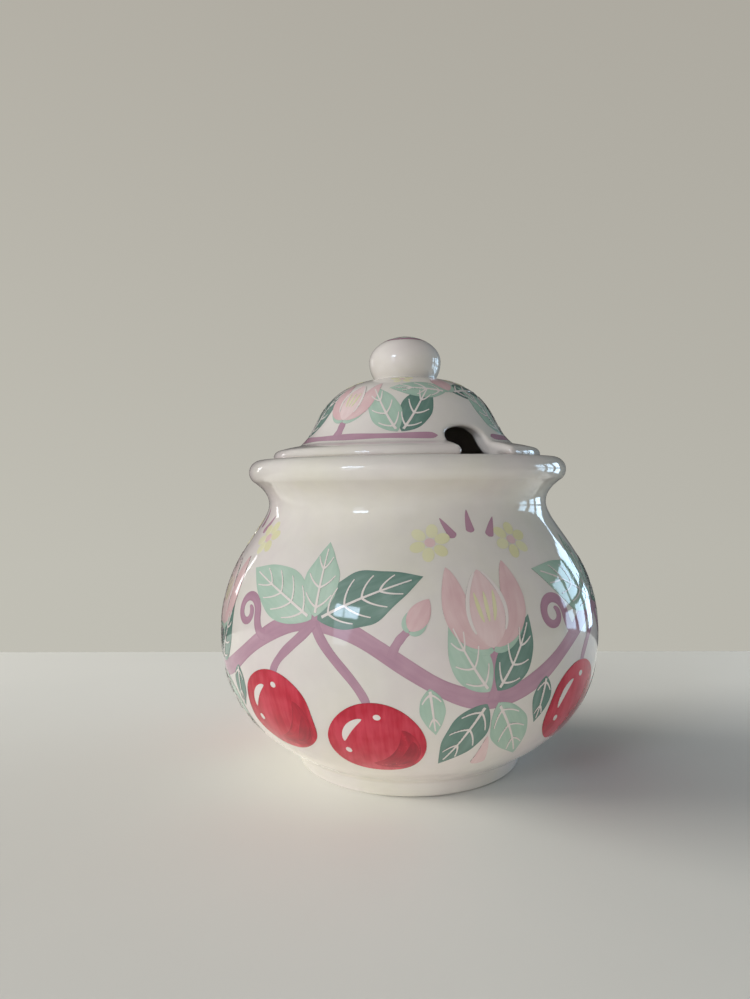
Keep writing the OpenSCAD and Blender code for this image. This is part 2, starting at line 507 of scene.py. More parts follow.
def wrap(tree: NodeTree, flat: NodeSocket,
         form: NodeSocket) -> NodeSocket:
    """Adds the nodes that lay flat art on a turned form.

    A point of the art has its arc length up the form in Y, its height over the surface in Z,
    a run around the form in X, and the azimuth that the run starts from in "azimuth". The art
    takes the form's own normals, because the real paint lies flat under the glaze.

    Args:
        tree: The tree that gets the nodes.
        flat: The flat art.
        form: The form's outer line as an object.

    Returns:
        The wrapped geometry.
    """
    outer = add_node(tree, "GeometryNodeObjectInfo", None, {"Object": form})
    line = add_node(tree, "GeometryNodeMeshToCurve", None, {"Mesh": outer.outputs["Geometry"]})
    place = add_node(tree, "GeometryNodeInputPosition")
    flat_xyz = add_node(tree, "ShaderNodeSeparateXYZ", None, {0: place.outputs[0]})
    sample = add_node(tree, "GeometryNodeSampleCurve", {"mode": "LENGTH"}, {
        "Curves": line.outputs[0], "Length": flat_xyz.outputs["Y"],
    })
    on_line = add_node(tree, "ShaderNodeSeparateXYZ", None, {0: sample.outputs["Position"]})
    tangent = add_node(tree, "ShaderNodeSeparateXYZ", None, {0: sample.outputs["Tangent"]})
    inward = add_node(tree, "ShaderNodeMath", {"operation": "MULTIPLY"}, {0: tangent.outputs["X"], 1: -1.0})
    radius = add_node(tree, "ShaderNodeMath", {"operation": "MULTIPLY_ADD"}, {
        0: tangent.outputs["Z"], 1: flat_xyz.outputs["Z"], 2: on_line.outputs["X"],
    })
    height = add_node(tree, "ShaderNodeMath", {"operation": "MULTIPLY_ADD"}, {
        0: inward.outputs[0], 1: flat_xyz.outputs["Z"], 2: on_line.outputs["Z"],
    })
    start = add_node(tree, "GeometryNodeInputNamedAttribute", {"data_type": "FLOAT"}, {"Name": "azimuth"})
    run = add_node(tree, "ShaderNodeMath", {"operation": "DIVIDE"}, {
        0: flat_xyz.outputs["X"], 1: on_line.outputs["X"],
    })
    angle = add_node(tree, "ShaderNodeMath", {"operation": "ADD"}, {0: start.outputs[0], 1: run.outputs[0]})
    front = add_node(tree, "ShaderNodeMath", {"operation": "MULTIPLY"}, {0: radius.outputs[0], 1: -1.0})
    arm = add_node(tree, "ShaderNodeCombineXYZ", None, {"Y": front.outputs[0], "Z": height.outputs[0]})
    turn = add_node(tree, "ShaderNodeVectorRotate", {"rotation_type": "Z_AXIS"}, {
        "Vector": arm.outputs[0], "Angle": angle.outputs[0],
    })
    outward = add_node(tree, "ShaderNodeMath", {"operation": "MULTIPLY"}, {0: tangent.outputs["Z"], 1: -1.0})
    lean = add_node(tree, "ShaderNodeCombineXYZ", None, {"Y": outward.outputs[0], "Z": inward.outputs[0]})
    facing = add_node(tree, "ShaderNodeVectorRotate", {"rotation_type": "Z_AXIS"}, {
        "Vector": lean.outputs[0], "Angle": angle.outputs[0],
    })
    kept = add_node(tree, "GeometryNodeStoreNamedAttribute", {"data_type": "FLOAT_VECTOR"}, {
        "Geometry": flat, "Name": "facing", "Value": facing.outputs[0],
    })
    placed = add_node(tree, "GeometryNodeSetPosition", None, {
        "Geometry": kept.outputs[0], "Position": turn.outputs[0],
    })
    return placed.outputs[0]


def brushwork_tree() -> NodeTree:
    """A tree that lays flat brushstrokes on a form.

    Returns:
        The tree, with the inputs Strokes, Form and Finish.
    """
    tree = new_tree("brushwork", {
        "Strokes": "NodeSocketGeometry", "Form": "NodeSocketObject", "Finish": "NodeSocketMaterial",
    })
    given = add_node(tree, "NodeGroupInput")
    laid = wrap(tree, given.outputs["Strokes"], given.outputs["Form"])
    finish_tree(tree, laid, given.outputs["Finish"])
    return tree


def dot_work_tree() -> NodeTree:
    """A tree that sets a dab of the brush's tip on each point and lays the dabs on a form.

    The points carry "dab", the dab's half length, half width and thickness, and "turn".

    Returns:
        The tree, with the inputs Points, Sides, Form and Finish.
    """
    tree = new_tree("dot_work", {
        "Points": "NodeSocketGeometry", "Sides": "NodeSocketInt", "Form": "NodeSocketObject",
        "Finish": "NodeSocketMaterial",
    })
    given = add_node(tree, "NodeGroupInput")
    dab = add_node(tree, "GeometryNodeMeshCone", {"fill_type": "NGON"}, {
        "Vertices": given.outputs["Sides"], "Radius Top": 1.0, "Radius Bottom": 1.15, "Depth": 1.0,
    })
    size = add_node(tree, "GeometryNodeInputNamedAttribute", {"data_type": "FLOAT_VECTOR"}, {"Name": "dab"})
    turn = add_node(tree, "GeometryNodeInputNamedAttribute", {"data_type": "FLOAT"}, {"Name": "turn"})
    angles = add_node(tree, "ShaderNodeCombineXYZ", None, {"Z": turn.outputs[0]})
    rotation = add_node(tree, "FunctionNodeEulerToRotation", None, {0: angles.outputs[0]})
    dabs = add_node(tree, "GeometryNodeInstanceOnPoints", None, {
        "Points": given.outputs["Points"], "Instance": dab.outputs["Mesh"],
        "Rotation": rotation.outputs[0], "Scale": size.outputs[0],
    })
    real = add_node(tree, "GeometryNodeRealizeInstances", None, {"Geometry": dabs.outputs[0]})
    laid = wrap(tree, real.outputs[0], given.outputs["Form"])
    finish_tree(tree, laid, given.outputs["Finish"])
    return tree


def run_tree(obj: Object, tree: NodeTree, values: dict[str, Any]) -> Object:
    """Runs a tree on an object and keeps the result as the object's own plain mesh.

    Args:
        obj: The object whose mesh is the tree's first input.
        tree: The tree.
        values: The other inputs, by name.

    Returns:
        The same object.
    """
    modifier = obj.modifiers.new(tree.name, "NODES")
    modifier.node_group = tree
    sockets = {s.name: s.identifier for s in tree.interface.items_tree if s.in_out == "INPUT"}
    for label, value in values.items():
        modifier[sockets[label]] = value
    graph = bpy.context.evaluated_depsgraph_get()
    graph.update()
    mesh = bpy.data.meshes.new_from_object(obj.evaluated_get(graph), preserve_all_data_layers=True,
                                           depsgraph=graph)
    obj.modifiers.clear()
    facing = mesh.attributes.get("facing")
    if facing:
        normals = np.empty(3 * len(mesh.vertices))
        facing.data.foreach_get("vector", normals)
        mesh.attributes.remove(facing)
        mesh.normals_split_custom_set_from_vertices(normals.reshape(-1, 3).tolist())
    old = obj.data
    obj.data = mesh
    bpy.data.meshes.remove(old)
    mesh.name = obj.name
    return obj


def mesh_object(name: str, points: np.ndarray, edges: Iterable = (), faces: Iterable = ()) -> Object:
    """A new object in the scene from points, edges and faces.

    Args:
        name: The object's name.
        points: Its points, in metres.
        edges: Its edges.
        faces: Its faces.

    Returns:
        The object.
    """
    mesh = bpy.data.meshes.new(name)
    mesh.from_pydata(points.tolist(), list(edges), list(faces))
    mesh.update()
    obj = bpy.data.objects.new(name, mesh)
    bpy.context.scene.collection.objects.link(obj)
    return obj


def line_object(name: str, line: np.ndarray) -> Object:
    """An outline in millimetres as a mesh line in the XZ plane, in metres."""
    points = np.stack([line[:, 0], np.zeros(len(line)), line[:, 1]], 1) * MM
    return mesh_object(name, points, [(i, i + 1) for i in range(len(line) - 1)])


# The forms


@dataclass
class PotForm:
    """The bowl's outline: foot ring, round belly, neck, rolled rim and the wall inside.

    Attributes:
        belly_r: The belly's widest radius.
        rim_z: Height of the rim's top.
        belly_z: Height of the belly's widest ring.
        foot_r: Radius of the foot at the table.
        foot_h: Height of the foot.
        foot_flare: How far the foot widens on its way up.
        foot_fillet: Blend between foot and belly.
        foot_edge: Rounding of the standing ring's edges.
        neck_r: Radius of the neck's narrowest ring.
        neck_z: Height of the neck's narrowest ring.
        rim_out: How far the rim stands out over the neck.
        roll_r: Radius of the rim's roll.
        mouth_edge: Rounding of the mouth's edge.
        wall: Thickness of the wall.
        floor_t: Thickness of the floor.
        ring_w: Width of the standing ring.
        recess_h: Depth of the hollow under the floor.
        floor_run: Blend between floor and wall.
    """

    belly_r: float
    rim_z: float
    belly_z: float = 39.5
    foot_r: float = 32.7
    foot_h: float = 3.7
    foot_flare: float = 0.8
    foot_fillet: float = 2.0
    foot_edge: float = 1.0
    neck_r: float = 40.8
    neck_z: float = 75.5
    rim_out: float = 5.65
    roll_r: float = 3.6
    mouth_edge: float = 1.2
    wall: float = 4.8
    floor_t: float = 5.6
    ring_w: float = 5.0
    recess_h: float = 2.4
    floor_run: float = 2.4

    @property
    def mouth_r(self) -> float:
        """Radius of the mouth."""
        return self.neck_r - self.wall

    def belly_line(self) -> np.ndarray:
        """The decorated wall, from the foot's fillet up to the neck's narrowest ring.

        Returns:
            Its points.
        """
        start = [self.foot_r + self.foot_flare + self.foot_fillet, self.foot_h + self.foot_fillet]
        return joined(
            cubic(start, 18.7 * direction(BELLY_LEAVE), np.array([0, 13.0]),
                  [self.belly_r, self.belly_z], 40),
            cubic([self.belly_r, self.belly_z], np.array([0, 20.5]), np.array([0, 6.6]),
                  [self.neck_r, self.neck_z], 44),
        )

    def rim_line(self) -> np.ndarray:
        """From the neck's narrowest ring over the rolled rim to its flat top.

        Returns:
            Its points.
        """
        centre = np.array([self.neck_r + self.rim_out - self.roll_r, self.rim_z - self.roll_r])
        under = centre + self.roll_r * direction(-45)
        return joined(
            cubic([self.neck_r, self.neck_z], np.array([0, 3.8]), 0.6 * direction(45), under, 14),
            arc(centre, self.roll_r, -45, 90, 26),
        )

    def foot_line(self) -> np.ndarray:
        """From the hollow under the floor round the standing ring up to the belly.

        Returns:
            Its points.
        """
        inner = self.foot_r - self.ring_w
        top = np.array([self.foot_r + self.foot_flare, self.foot_h])
        edge = self.foot_edge
        belly = self.belly_line()[0]
        corner = belly - self.foot_fillet * np.array([1, math.tan(math.radians(BELLY_LEAVE))])
        return joined(
            [[0, self.recess_h]],
            [[inner * k / 6, self.recess_h] for k in range(1, 6)],
            arc([inner - 1.3, self.recess_h - 0.8], 0.8, 90, 0, 6),
            arc([inner + edge, edge], edge, 180, 270, 6),
            arc([self.foot_r - edge, edge], edge, -90, 0, 8),
            [self.foot_r + self.foot_flare * 0.5, self.foot_h * 0.5],
            cubic(top, BLEND * (corner - top), BLEND * (belly - corner), belly, 10),
        )

    def inner_line(self) -> np.ndarray:
        """From the rim's flat top over the mouth's edge and down the wall to the floor's middle.

        Returns:
            Its points.
        """
        floor_z = self.recess_h + self.floor_t
        edge = self.mouth_edge
        side = inset(self.belly_line(), self.wall)
        side = side[side[:, 1] > floor_z + 1]
        step = side[1] - side[0]
        knee = side[0] - step * (side[0][1] - floor_z) / step[1]
        run = np.array([self.floor_run, 0])
        floor = cubic(knee - run, BLEND * run, BLEND * (side[0] - knee), side[0], 8)
        flat = [[floor[0][0] * k / 7, floor_z] for k in range(6, -1, -1)]
        return joined(
            arc([self.mouth_r + edge, self.rim_z - edge], edge, 90, 180, 10),
            [[self.mouth_r, z] for z in np.linspace(self.rim_z - edge - 1, self.neck_z + 1, 8)],
            side[::-1], floor[::-1], flat,
        )

    def outline(self) -> np.ndarray:
        """The whole closed outline, from the axis under the floor to the axis above it."""
        return joined(self.foot_line(), self.belly_line(), self.rim_line(), self.inner_line())


@dataclass
class LidForm:
    """The lid's outline: sloping flange, dome, locating collar and the space under it.

    Attributes:
        seat_z: Height at which the lid lies on the rim.
        flange_r: The flange's outer radius.
        collar_bottom: Height of the collar's lower end.
        mouth_r: Radius of the pot's mouth.
        flange_edge: Rounding of the flange's edge.
        flange_h: Height of the flange's edge.
        flange_w: Width of the flange outside the dome.
        dome_foot_h: Height of the dome's foot over the seat.
        dome_h: Height of the dome's top over the seat.
        knob_seat_r: Radius of the flat seat under the knob.
        wall: Thickness of the dome's wall.
        collar_gap: Air between collar and mouth.
        collar_t: Thickness of the collar.
        notch_w: Width of the notch through the dome.
        notch_mouth_w: Width of the notch at the flange's edge.
        notch_h: Height of the notch's crown over the seat.
        notch_arch_h: Height of the notch's arch alone.
        notch_turn: The notch's azimuth.
        notch_edge: Rounding of the notch's outer edge.
        notch_inner_edge: Rounding of the notch's inner edge.
        flange_slope: Direction of the flange's top.
        dome_slope: Direction in which the dome leaves its foot.
        crown_slope: Direction in which the dome arrives at the knob's seat.
        bead: Rounding of the collar's lower end.
        seat_edge: Rounding under the flange's edge.
    """

    seat_z: float
    flange_r: float
    collar_bottom: float
    mouth_r: float
    flange_edge: float = 2.0
    flange_h: float = 2.7
    flange_w: float = 8.0
    dome_foot_h: float = 4.3
    dome_h: float = 23.5
    knob_seat_r: float = 9.3
    wall: float = 4.5
    collar_gap: float = 0.9
    collar_t: float = 4.1
    notch_w: float = 12.6
    notch_mouth_w: float = 15.8
    notch_h: float = 8.0
    notch_arch_h: float = 3.4
    notch_turn: float = 33.0
    notch_edge: float = 1.7
    notch_inner_edge: float = 1.2
    flange_slope: float = 164.0
    dome_slope: float = 140.0
    crown_slope: float = 170.0
    bead: float = 0.9
    seat_edge: float = 0.55

    @property
    def dome_r(self) -> float:
        """Radius of the dome's foot."""
        return self.flange_r - self.flange_w

    def dome_line(self) -> np.ndarray:
        """The dome from its foot to the knob's seat, which carries the decoration.

        Returns:
            Its points.
        """
        foot = [self.dome_r, self.seat_z + self.dome_foot_h]
        return cubic(foot, 8.7 * direction(self.dome_slope), 17.6 * direction(self.crown_slope),
                     [self.knob_seat_r, self.seat_z + self.dome_h], 60)

    def flange_line(self) -> np.ndarray:
        """The flange from its rounded edge to the dome's foot.

        Returns:
            Its points.
        """
        centre = np.array([self.flange_r - self.flange_edge, self.seat_z + self.flange_h - self.flange_edge])
        end = centre + self.flange_edge * direction(self.flange_slope - 90)
        foot = [self.dome_r, self.seat_z + self.dome_foot_h]
        return joined(
            arc(centre, self.flange_edge, 0, self.flange_slope - 90, 12),
            cubic(end, 4.6 * direction(self.flange_slope), direction(self.dome_slope), foot, 36),
        )

    def outline(self) -> np.ndarray:
        """The whole closed outline, from the axis under the dome round to the axis above it.

        Returns:
            Its points.
        """
        collar_r = self.mouth_r - self.collar_gap
        inner_r = collar_r - self.collar_t
        top = joined(self.flange_line(), self.dome_line())
        under = inset(top, self.wall)
        under = under[(under[:, 0] < inner_r - 0.2) & (under[:, 0] > 0.5)]
        bead, edge = self.bead, self.seat_edge
        return joined(
            [[0, self.seat_z + self.dome_h - self.wall]],
            under[::-1],
            arc([inner_r + bead, self.collar_bottom + bead], bead, 180, 270, 8),
            arc([collar_r - bead, self.collar_bottom + bead], bead, -90, 0, 8),
            [[collar_r, self.seat_z]],
            arc([self.flange_r - edge, self.seat_z + edge], edge, -90, 0, 5),
            top,
            [[0, self.seat_z + self.dome_h]],
        )


@dataclass
class KnobForm:
    """The ball knob's outline: a squashed ball with a flat base, luted to the dome.

    Attributes:
        base_z: Height of its base.
        top_z: Height of its top.
        wide_r: Its widest radius.
        wide_h: Height of its widest ring over its base.
        base_r: Radius of its base.
        luting: Width of the slip that joins it to the dome.
    """

    base_z: float
    top_z: float
    wide_r: float
    wide_h: float = 5.3
    base_r: float = 8.9
    luting: float = 0.45

    def crown_line(self) -> np.ndarray:
        """The ball from its widest ring to its top.

        Returns:
            Its points.
        """
        wide_z = self.base_z + self.wide_h
        angles = np.linspace(0, math.pi / 2, 40)
        return np.stack([self.wide_r * np.cos(angles), wide_z + (self.top_z - wide_z) * np.sin(angles)], 1)

    def outline(self) -> np.ndarray:
        """The closed outline, from the base's middle to the top.

        Returns:
            Its points.
        """
        base_angle = math.acos(self.base_r / self.wide_r)
        low_h = self.wide_h / math.sin(base_angle)
        low = np.linspace(-base_angle, 0, 16)
        wide_z = self.base_z + self.wide_h
        ball = joined(
            np.stack([self.wide_r * np.cos(low), wide_z + low_h * np.sin(low)], 1),
            self.crown_line(),
        )
        ball = ball[ball[:, 1] > self.base_z + self.luting]
        ball[-1, 0] = 0
        flare = [self.base_r + self.luting, self.base_z]
        flat = [[self.base_r * k / 5, self.base_z] for k in range(5)]
        return joined(
            flat,
            cubic(flare, np.array([-0.8 * self.luting, 0.1]), 0.5 * self.luting * direction(80), ball[0], 6),
            ball,
        )


# The lid as an implicit surface, because the notch's edges are rounded where the glaze ran back


def outline_distance(points: np.ndarray, outline: np.ndarray) -> np.ndarray:
    """Signed distance from points to a closed outline in the plane, negative inside.

    Args:
        points: An array of points.
        outline: The outline's corners, in order.

    Returns:
        One distance for each point.
    """
    start, end = outline, np.roll(outline, -1, axis=0)
    edge = end - start
    length2 = (edge**2).sum(1) + TINY
    result = np.empty(len(points))
    for first in range(0, len(points), CHUNK):
        p = points[first:first + CHUNK, None, :]
        offset = p - start
        share = np.clip((offset * edge).sum(2) / length2, 0, 1)
        gap = offset - share[:, :, None] * edge
        distance = np.sqrt((gap**2).sum(2).min(1))
        above = (start[:, 1] > p[:, :, 1]) != (end[:, 1] > p[:, :, 1])
        rise = np.where(np.abs(edge[:, 1]) < TINY, TINY, edge[:, 1])
        crossing = start[:, 0] + (p[:, :, 1] - start[:, 1]) * edge[:, 0] / rise
        inside = (above & (p[:, :, 0] < crossing)).sum(1) % 2 == 1
        result[first:first + CHUNK] = np.where(inside, -distance, distance)
    return result


@dataclass
class DistanceTable:
    """Distances to an outline on a fine grid, read back between its points.

    Attributes:
        low: The grid's lower corner.
        high: The grid's upper corner.
        pitch: Distance between the grid's points.
        outline: The closed outline.
        table: The distance at each point of the grid.
    """

    low: tuple[float, float]
    high: tuple[float, float]
    pitch: float
    outline: np.ndarray
    table: np.ndarray = field(init=False)

    def __post_init__(self) -> None:
        """Fills the table."""
        xs = np.arange(self.low[0], self.high[0] + self.pitch, self.pitch)
        ys = np.arange(self.low[1], self.high[1] + self.pitch, self.pitch)
        grid = np.stack(np.meshgrid(xs, ys, indexing="ij"), -1)
        self.table = outline_distance(grid.reshape(-1, 2), self.outline).reshape(grid.shape[:2])

    def read(self, x: np.ndarray, y: np.ndarray) -> np.ndarray:
        """Reads distances between the grid's points.

        Args:
            x: The places across.
            y: The places up.

        Returns:
            One distance for each place.
        """
        u = np.clip((x - self.low[0]) / self.pitch, 0, self.table.shape[0] - 1.001)
        v = np.clip((y - self.low[1]) / self.pitch, 0, self.table.shape[1] - 1.001)
        i, j = u.astype(int), v.astype(int)
        a, b = u - i, v - j
        t = self.table
        return ((1 - a) * (1 - b) * t[i, j] + a * (1 - b) * t[i + 1, j]
                + (1 - a) * b * t[i, j + 1] + a * b * t[i + 1, j + 1])


@dataclass
class NotchedLid:
    """The lid's solid as a function that is negative inside, with the notch's edges rounded.

    Attributes:
        form: The lid's sizes.
        cell: Size of a cell of the net.
        body: Distances to the turned outline.
        notch: Distances to the notch's arch, from the side.
    """

    form: LidForm
    cell: float = 0.62
    body: DistanceTable = field(init=False)
    notch: DistanceTable = field(init=False)

    PITCH: ClassVar[float] = 0.12

    def __post_init__(self) -> None:
        """Prepares the distance tables of the turned body and of the notch's arch."""
        top = self.form.seat_z + self.form.dome_h
        self.body = DistanceTable((0, self.form.collar_bottom - 2.5), (self.form.flange_r + 3, top + 2.5),
                                  self.PITCH, self.form.outline())
        half = self.form.notch_w / 2
        spring = self.form.seat_z + self.form.notch_h - self.form.notch_arch_h
        angles = np.radians(np.linspace(0, 180, 41))
        crown = np.stack([half * np.cos(angles), spring + self.form.notch_arch_h * np.sin(angles)], 1)
        deep = self.form.collar_bottom - 20
        arch = joined([[-half, deep], [half, deep]], crown)
        self.notch = DistanceTable((0, self.form.collar_bottom - 3), (self.form.flange_r + 3, top + 3),
                                   self.PITCH, arch)

    def value(self, p: np.ndarray) -> np.ndarray:
        """The function itself.

        Args:
            p: Points.

        Returns:
            One value for each point, negative inside the clay.
        """
        turn = math.radians(self.form.notch_turn)
        out = p[:, 0] * math.sin(turn) - p[:, 1] * math.cos(turn)
        side = p[:, 0] * math.cos(turn) + p[:, 1] * math.sin(turn)
        radius = np.hypot(p[:, 0], p[:, 1])
        solid = self.body.read(radius, p[:, 2])
        arch = np.where(out > self.form.dome_r / 3, -self.notch.read(np.abs(side), p[:, 2]), -FAR)
        # Through the flange the notch widens towards its mouth
        widen = (self.form.notch_mouth_w - self.form.notch_w) / 2 / self.form.flange_w
        half = self.form.notch_w / 2 + widen * (out - self.form.dome_r)
        roof = self.form.seat_z + self.form.notch_h - self.form.notch_arch_h
        mouth = -np.maximum.reduce([np.abs(side) - half, self.form.dome_r - out, p[:, 2] - roof])
        cut = np.maximum(arch, mouth)
        # The glaze rounds the outside of the notch more than its inside
        inner_r = self.form.dome_r - self.form.wall
        mix = np.clip((radius - inner_r) / self.form.wall + 0.5 * (p[:, 2] > self.form.seat_z + 6), 0, 1)
        edge = self.form.notch_inner_edge + (self.form.notch_edge - self.form.notch_inner_edge) * mix
        u, v = np.maximum(solid + edge, 0), np.maximum(cut + edge, 0)
        return np.minimum(np.maximum(solid, cut), -edge) + np.hypot(u, v)

    def gradient(self, p: np.ndarray, step: float = 0.08) -> np.ndarray:
        """The function's slope.

        Args:
            p: Points.
            step: How far apart the function is read.

        Returns:
            One vector for each point.
        """
        slope = np.empty_like(p)
        for axis in range(3):
            shift = np.zeros(3)
            shift[axis] = step
            slope[:, axis] = (self.value(p + shift) - self.value(p - shift)) / (2 * step)
        return slope

    def settle(self, p: np.ndarray, rounds: int) -> np.ndarray:
        """Moves points onto the surface along the function's slope.

        Args:
            p: Points near the surface.
            rounds: How many times they are moved.

        Returns:
            The moved points.
        """
        for _ in range(rounds):
            slope = self.gradient(p)
            size = np.maximum((slope**2).sum(1), 0.05)
            move = self.value(p)[:, None] * slope / size[:, None]
            p = p - np.clip(move, -self.cell, self.cell)
        return p

    def surface(self) -> tuple[np.ndarray, np.ndarray, np.ndarray]:
        """Cuts the function into a net of quads and settles it on the surface.

        Returns:
            Points in millimetres, quads, and the outward unit vector at each point.
        """
        reach = self.form.flange_r + 1.5 * self.cell
        low = np.array([-reach, -reach, self.form.collar_bottom - 1.5 * self.cell])
        high = np.array([reach, reach, self.form.seat_z + self.form.dome_h + 1.5 * self.cell])
        count = np.ceil((high - low) / self.cell).astype(int) + 1
        axes = [low[a] + self.cell * np.arange(count[a]) for a in range(3)]
        grid = np.stack(np.meshgrid(*axes, indexing="ij"), -1)
        values = self.value(grid.reshape(-1, 3)).reshape(grid.shape[:3])
        inside = values < 0
        total = np.zeros((*grid.shape[:3], 3))
        hits = np.zeros(grid.shape[:3], int)
        crossings = []
        for axis in range(3):
            here = [slice(None)] * 3
            there = [slice(None)] * 3
            here[axis], there[axis] = slice(None, -1), slice(1, None)
            changed = np.argwhere(inside[tuple(here)] != inside[tuple(there)])
            ahead = changed.copy()
            ahead[:, axis] += 1
            a, b = values[tuple(changed.T)], values[tuple(ahead.T)]
            point = grid[tuple(changed.T)].copy()
            point[:, axis] += self.cell * a / (a - b)
            second, third = (axis + 1) % 3, (axis + 2) % 3
            ring = []
            for shift2, shift3 in ((1, 1), (0, 1), (0, 0), (1, 0)):
                cell = changed.copy()
                cell[:, second] -= shift2
                cell[:, third] -= shift3
                ring.append(cell)
                np.add.at(total, tuple(cell.T), point)
                np.add.at(hits, tuple(cell.T), 1)
            crossings.append((ring, inside[tuple(changed.T)]))
        used = np.argwhere(hits > 0)
        number = np.full(hits.shape, -1)
        number[tuple(used.T)] = np.arange(len(used))
        points = total[tuple(used.T)] / hits[tuple(used.T)][:, None]
        quads = []
        for ring, leaving in crossings:
            corners = np.stack([number[tuple(cell.T)] for cell in ring], 1)
            quads.append(corners[leaving])
            quads.append(corners[~leaving][:, ::-1])
        quads = np.concatenate(quads)
        points = self.relax(self.settle(points, 3), quads)
        slope = self.gradient(points)
        return points, quads, slope / np.linalg.norm(slope, axis=1)[:, None]

    def relax(self, points: np.ndarray, quads: np.ndarray) -> np.ndarray:
        """Evens out the net: each point moves towards its neighbours' middle and back onto the surface.

        Args:
            points: The net's points.
            quads: Its quads.

        Returns:
            The moved points.
        """
        pairs = np.concatenate([quads[:, [k, (k + 1) % 4]] for k in range(4)])
        for _ in range(4):
            total = np.zeros_like(points)
            hits = np.zeros(len(points))
            np.add.at(total, pairs[:, 0], points[pairs[:, 1]])
            np.add.at(hits, pairs[:, 0], 1)
            points = self.settle(0.5 * points + 0.5 * total / hits[:, None], 2)
        return points


# Brushwork


@dataclass
class Stroke:
    """One stroke of a loaded brush.

    Attributes:
        line: Its middle line, as azimuth in radians and arc height in millimetres.
        half: Half its width along the line.
        tone: How loaded the brush is, from -0.5 to 0.5.
        layer: How many strokes of the same colour it lies on.
    """

    line: np.ndarray
    half: np.ndarray
    tone: float
    layer: int


class Dab(NamedTuple):
    """One dab of the brush's tip.

    Attributes:
        azimuth: Where it is round the form, in radians.
        height: Where it is up the form, as an arc height.
        half_long: Half its length.
        half_wide: Half its width.
        turn: How far it is turned anticlockwise, in radians.
        tone: How loaded the brush is.
    """

    azimuth: float
    height: float
    half_long: float
    half_wide: float
    turn: float
    tone: float


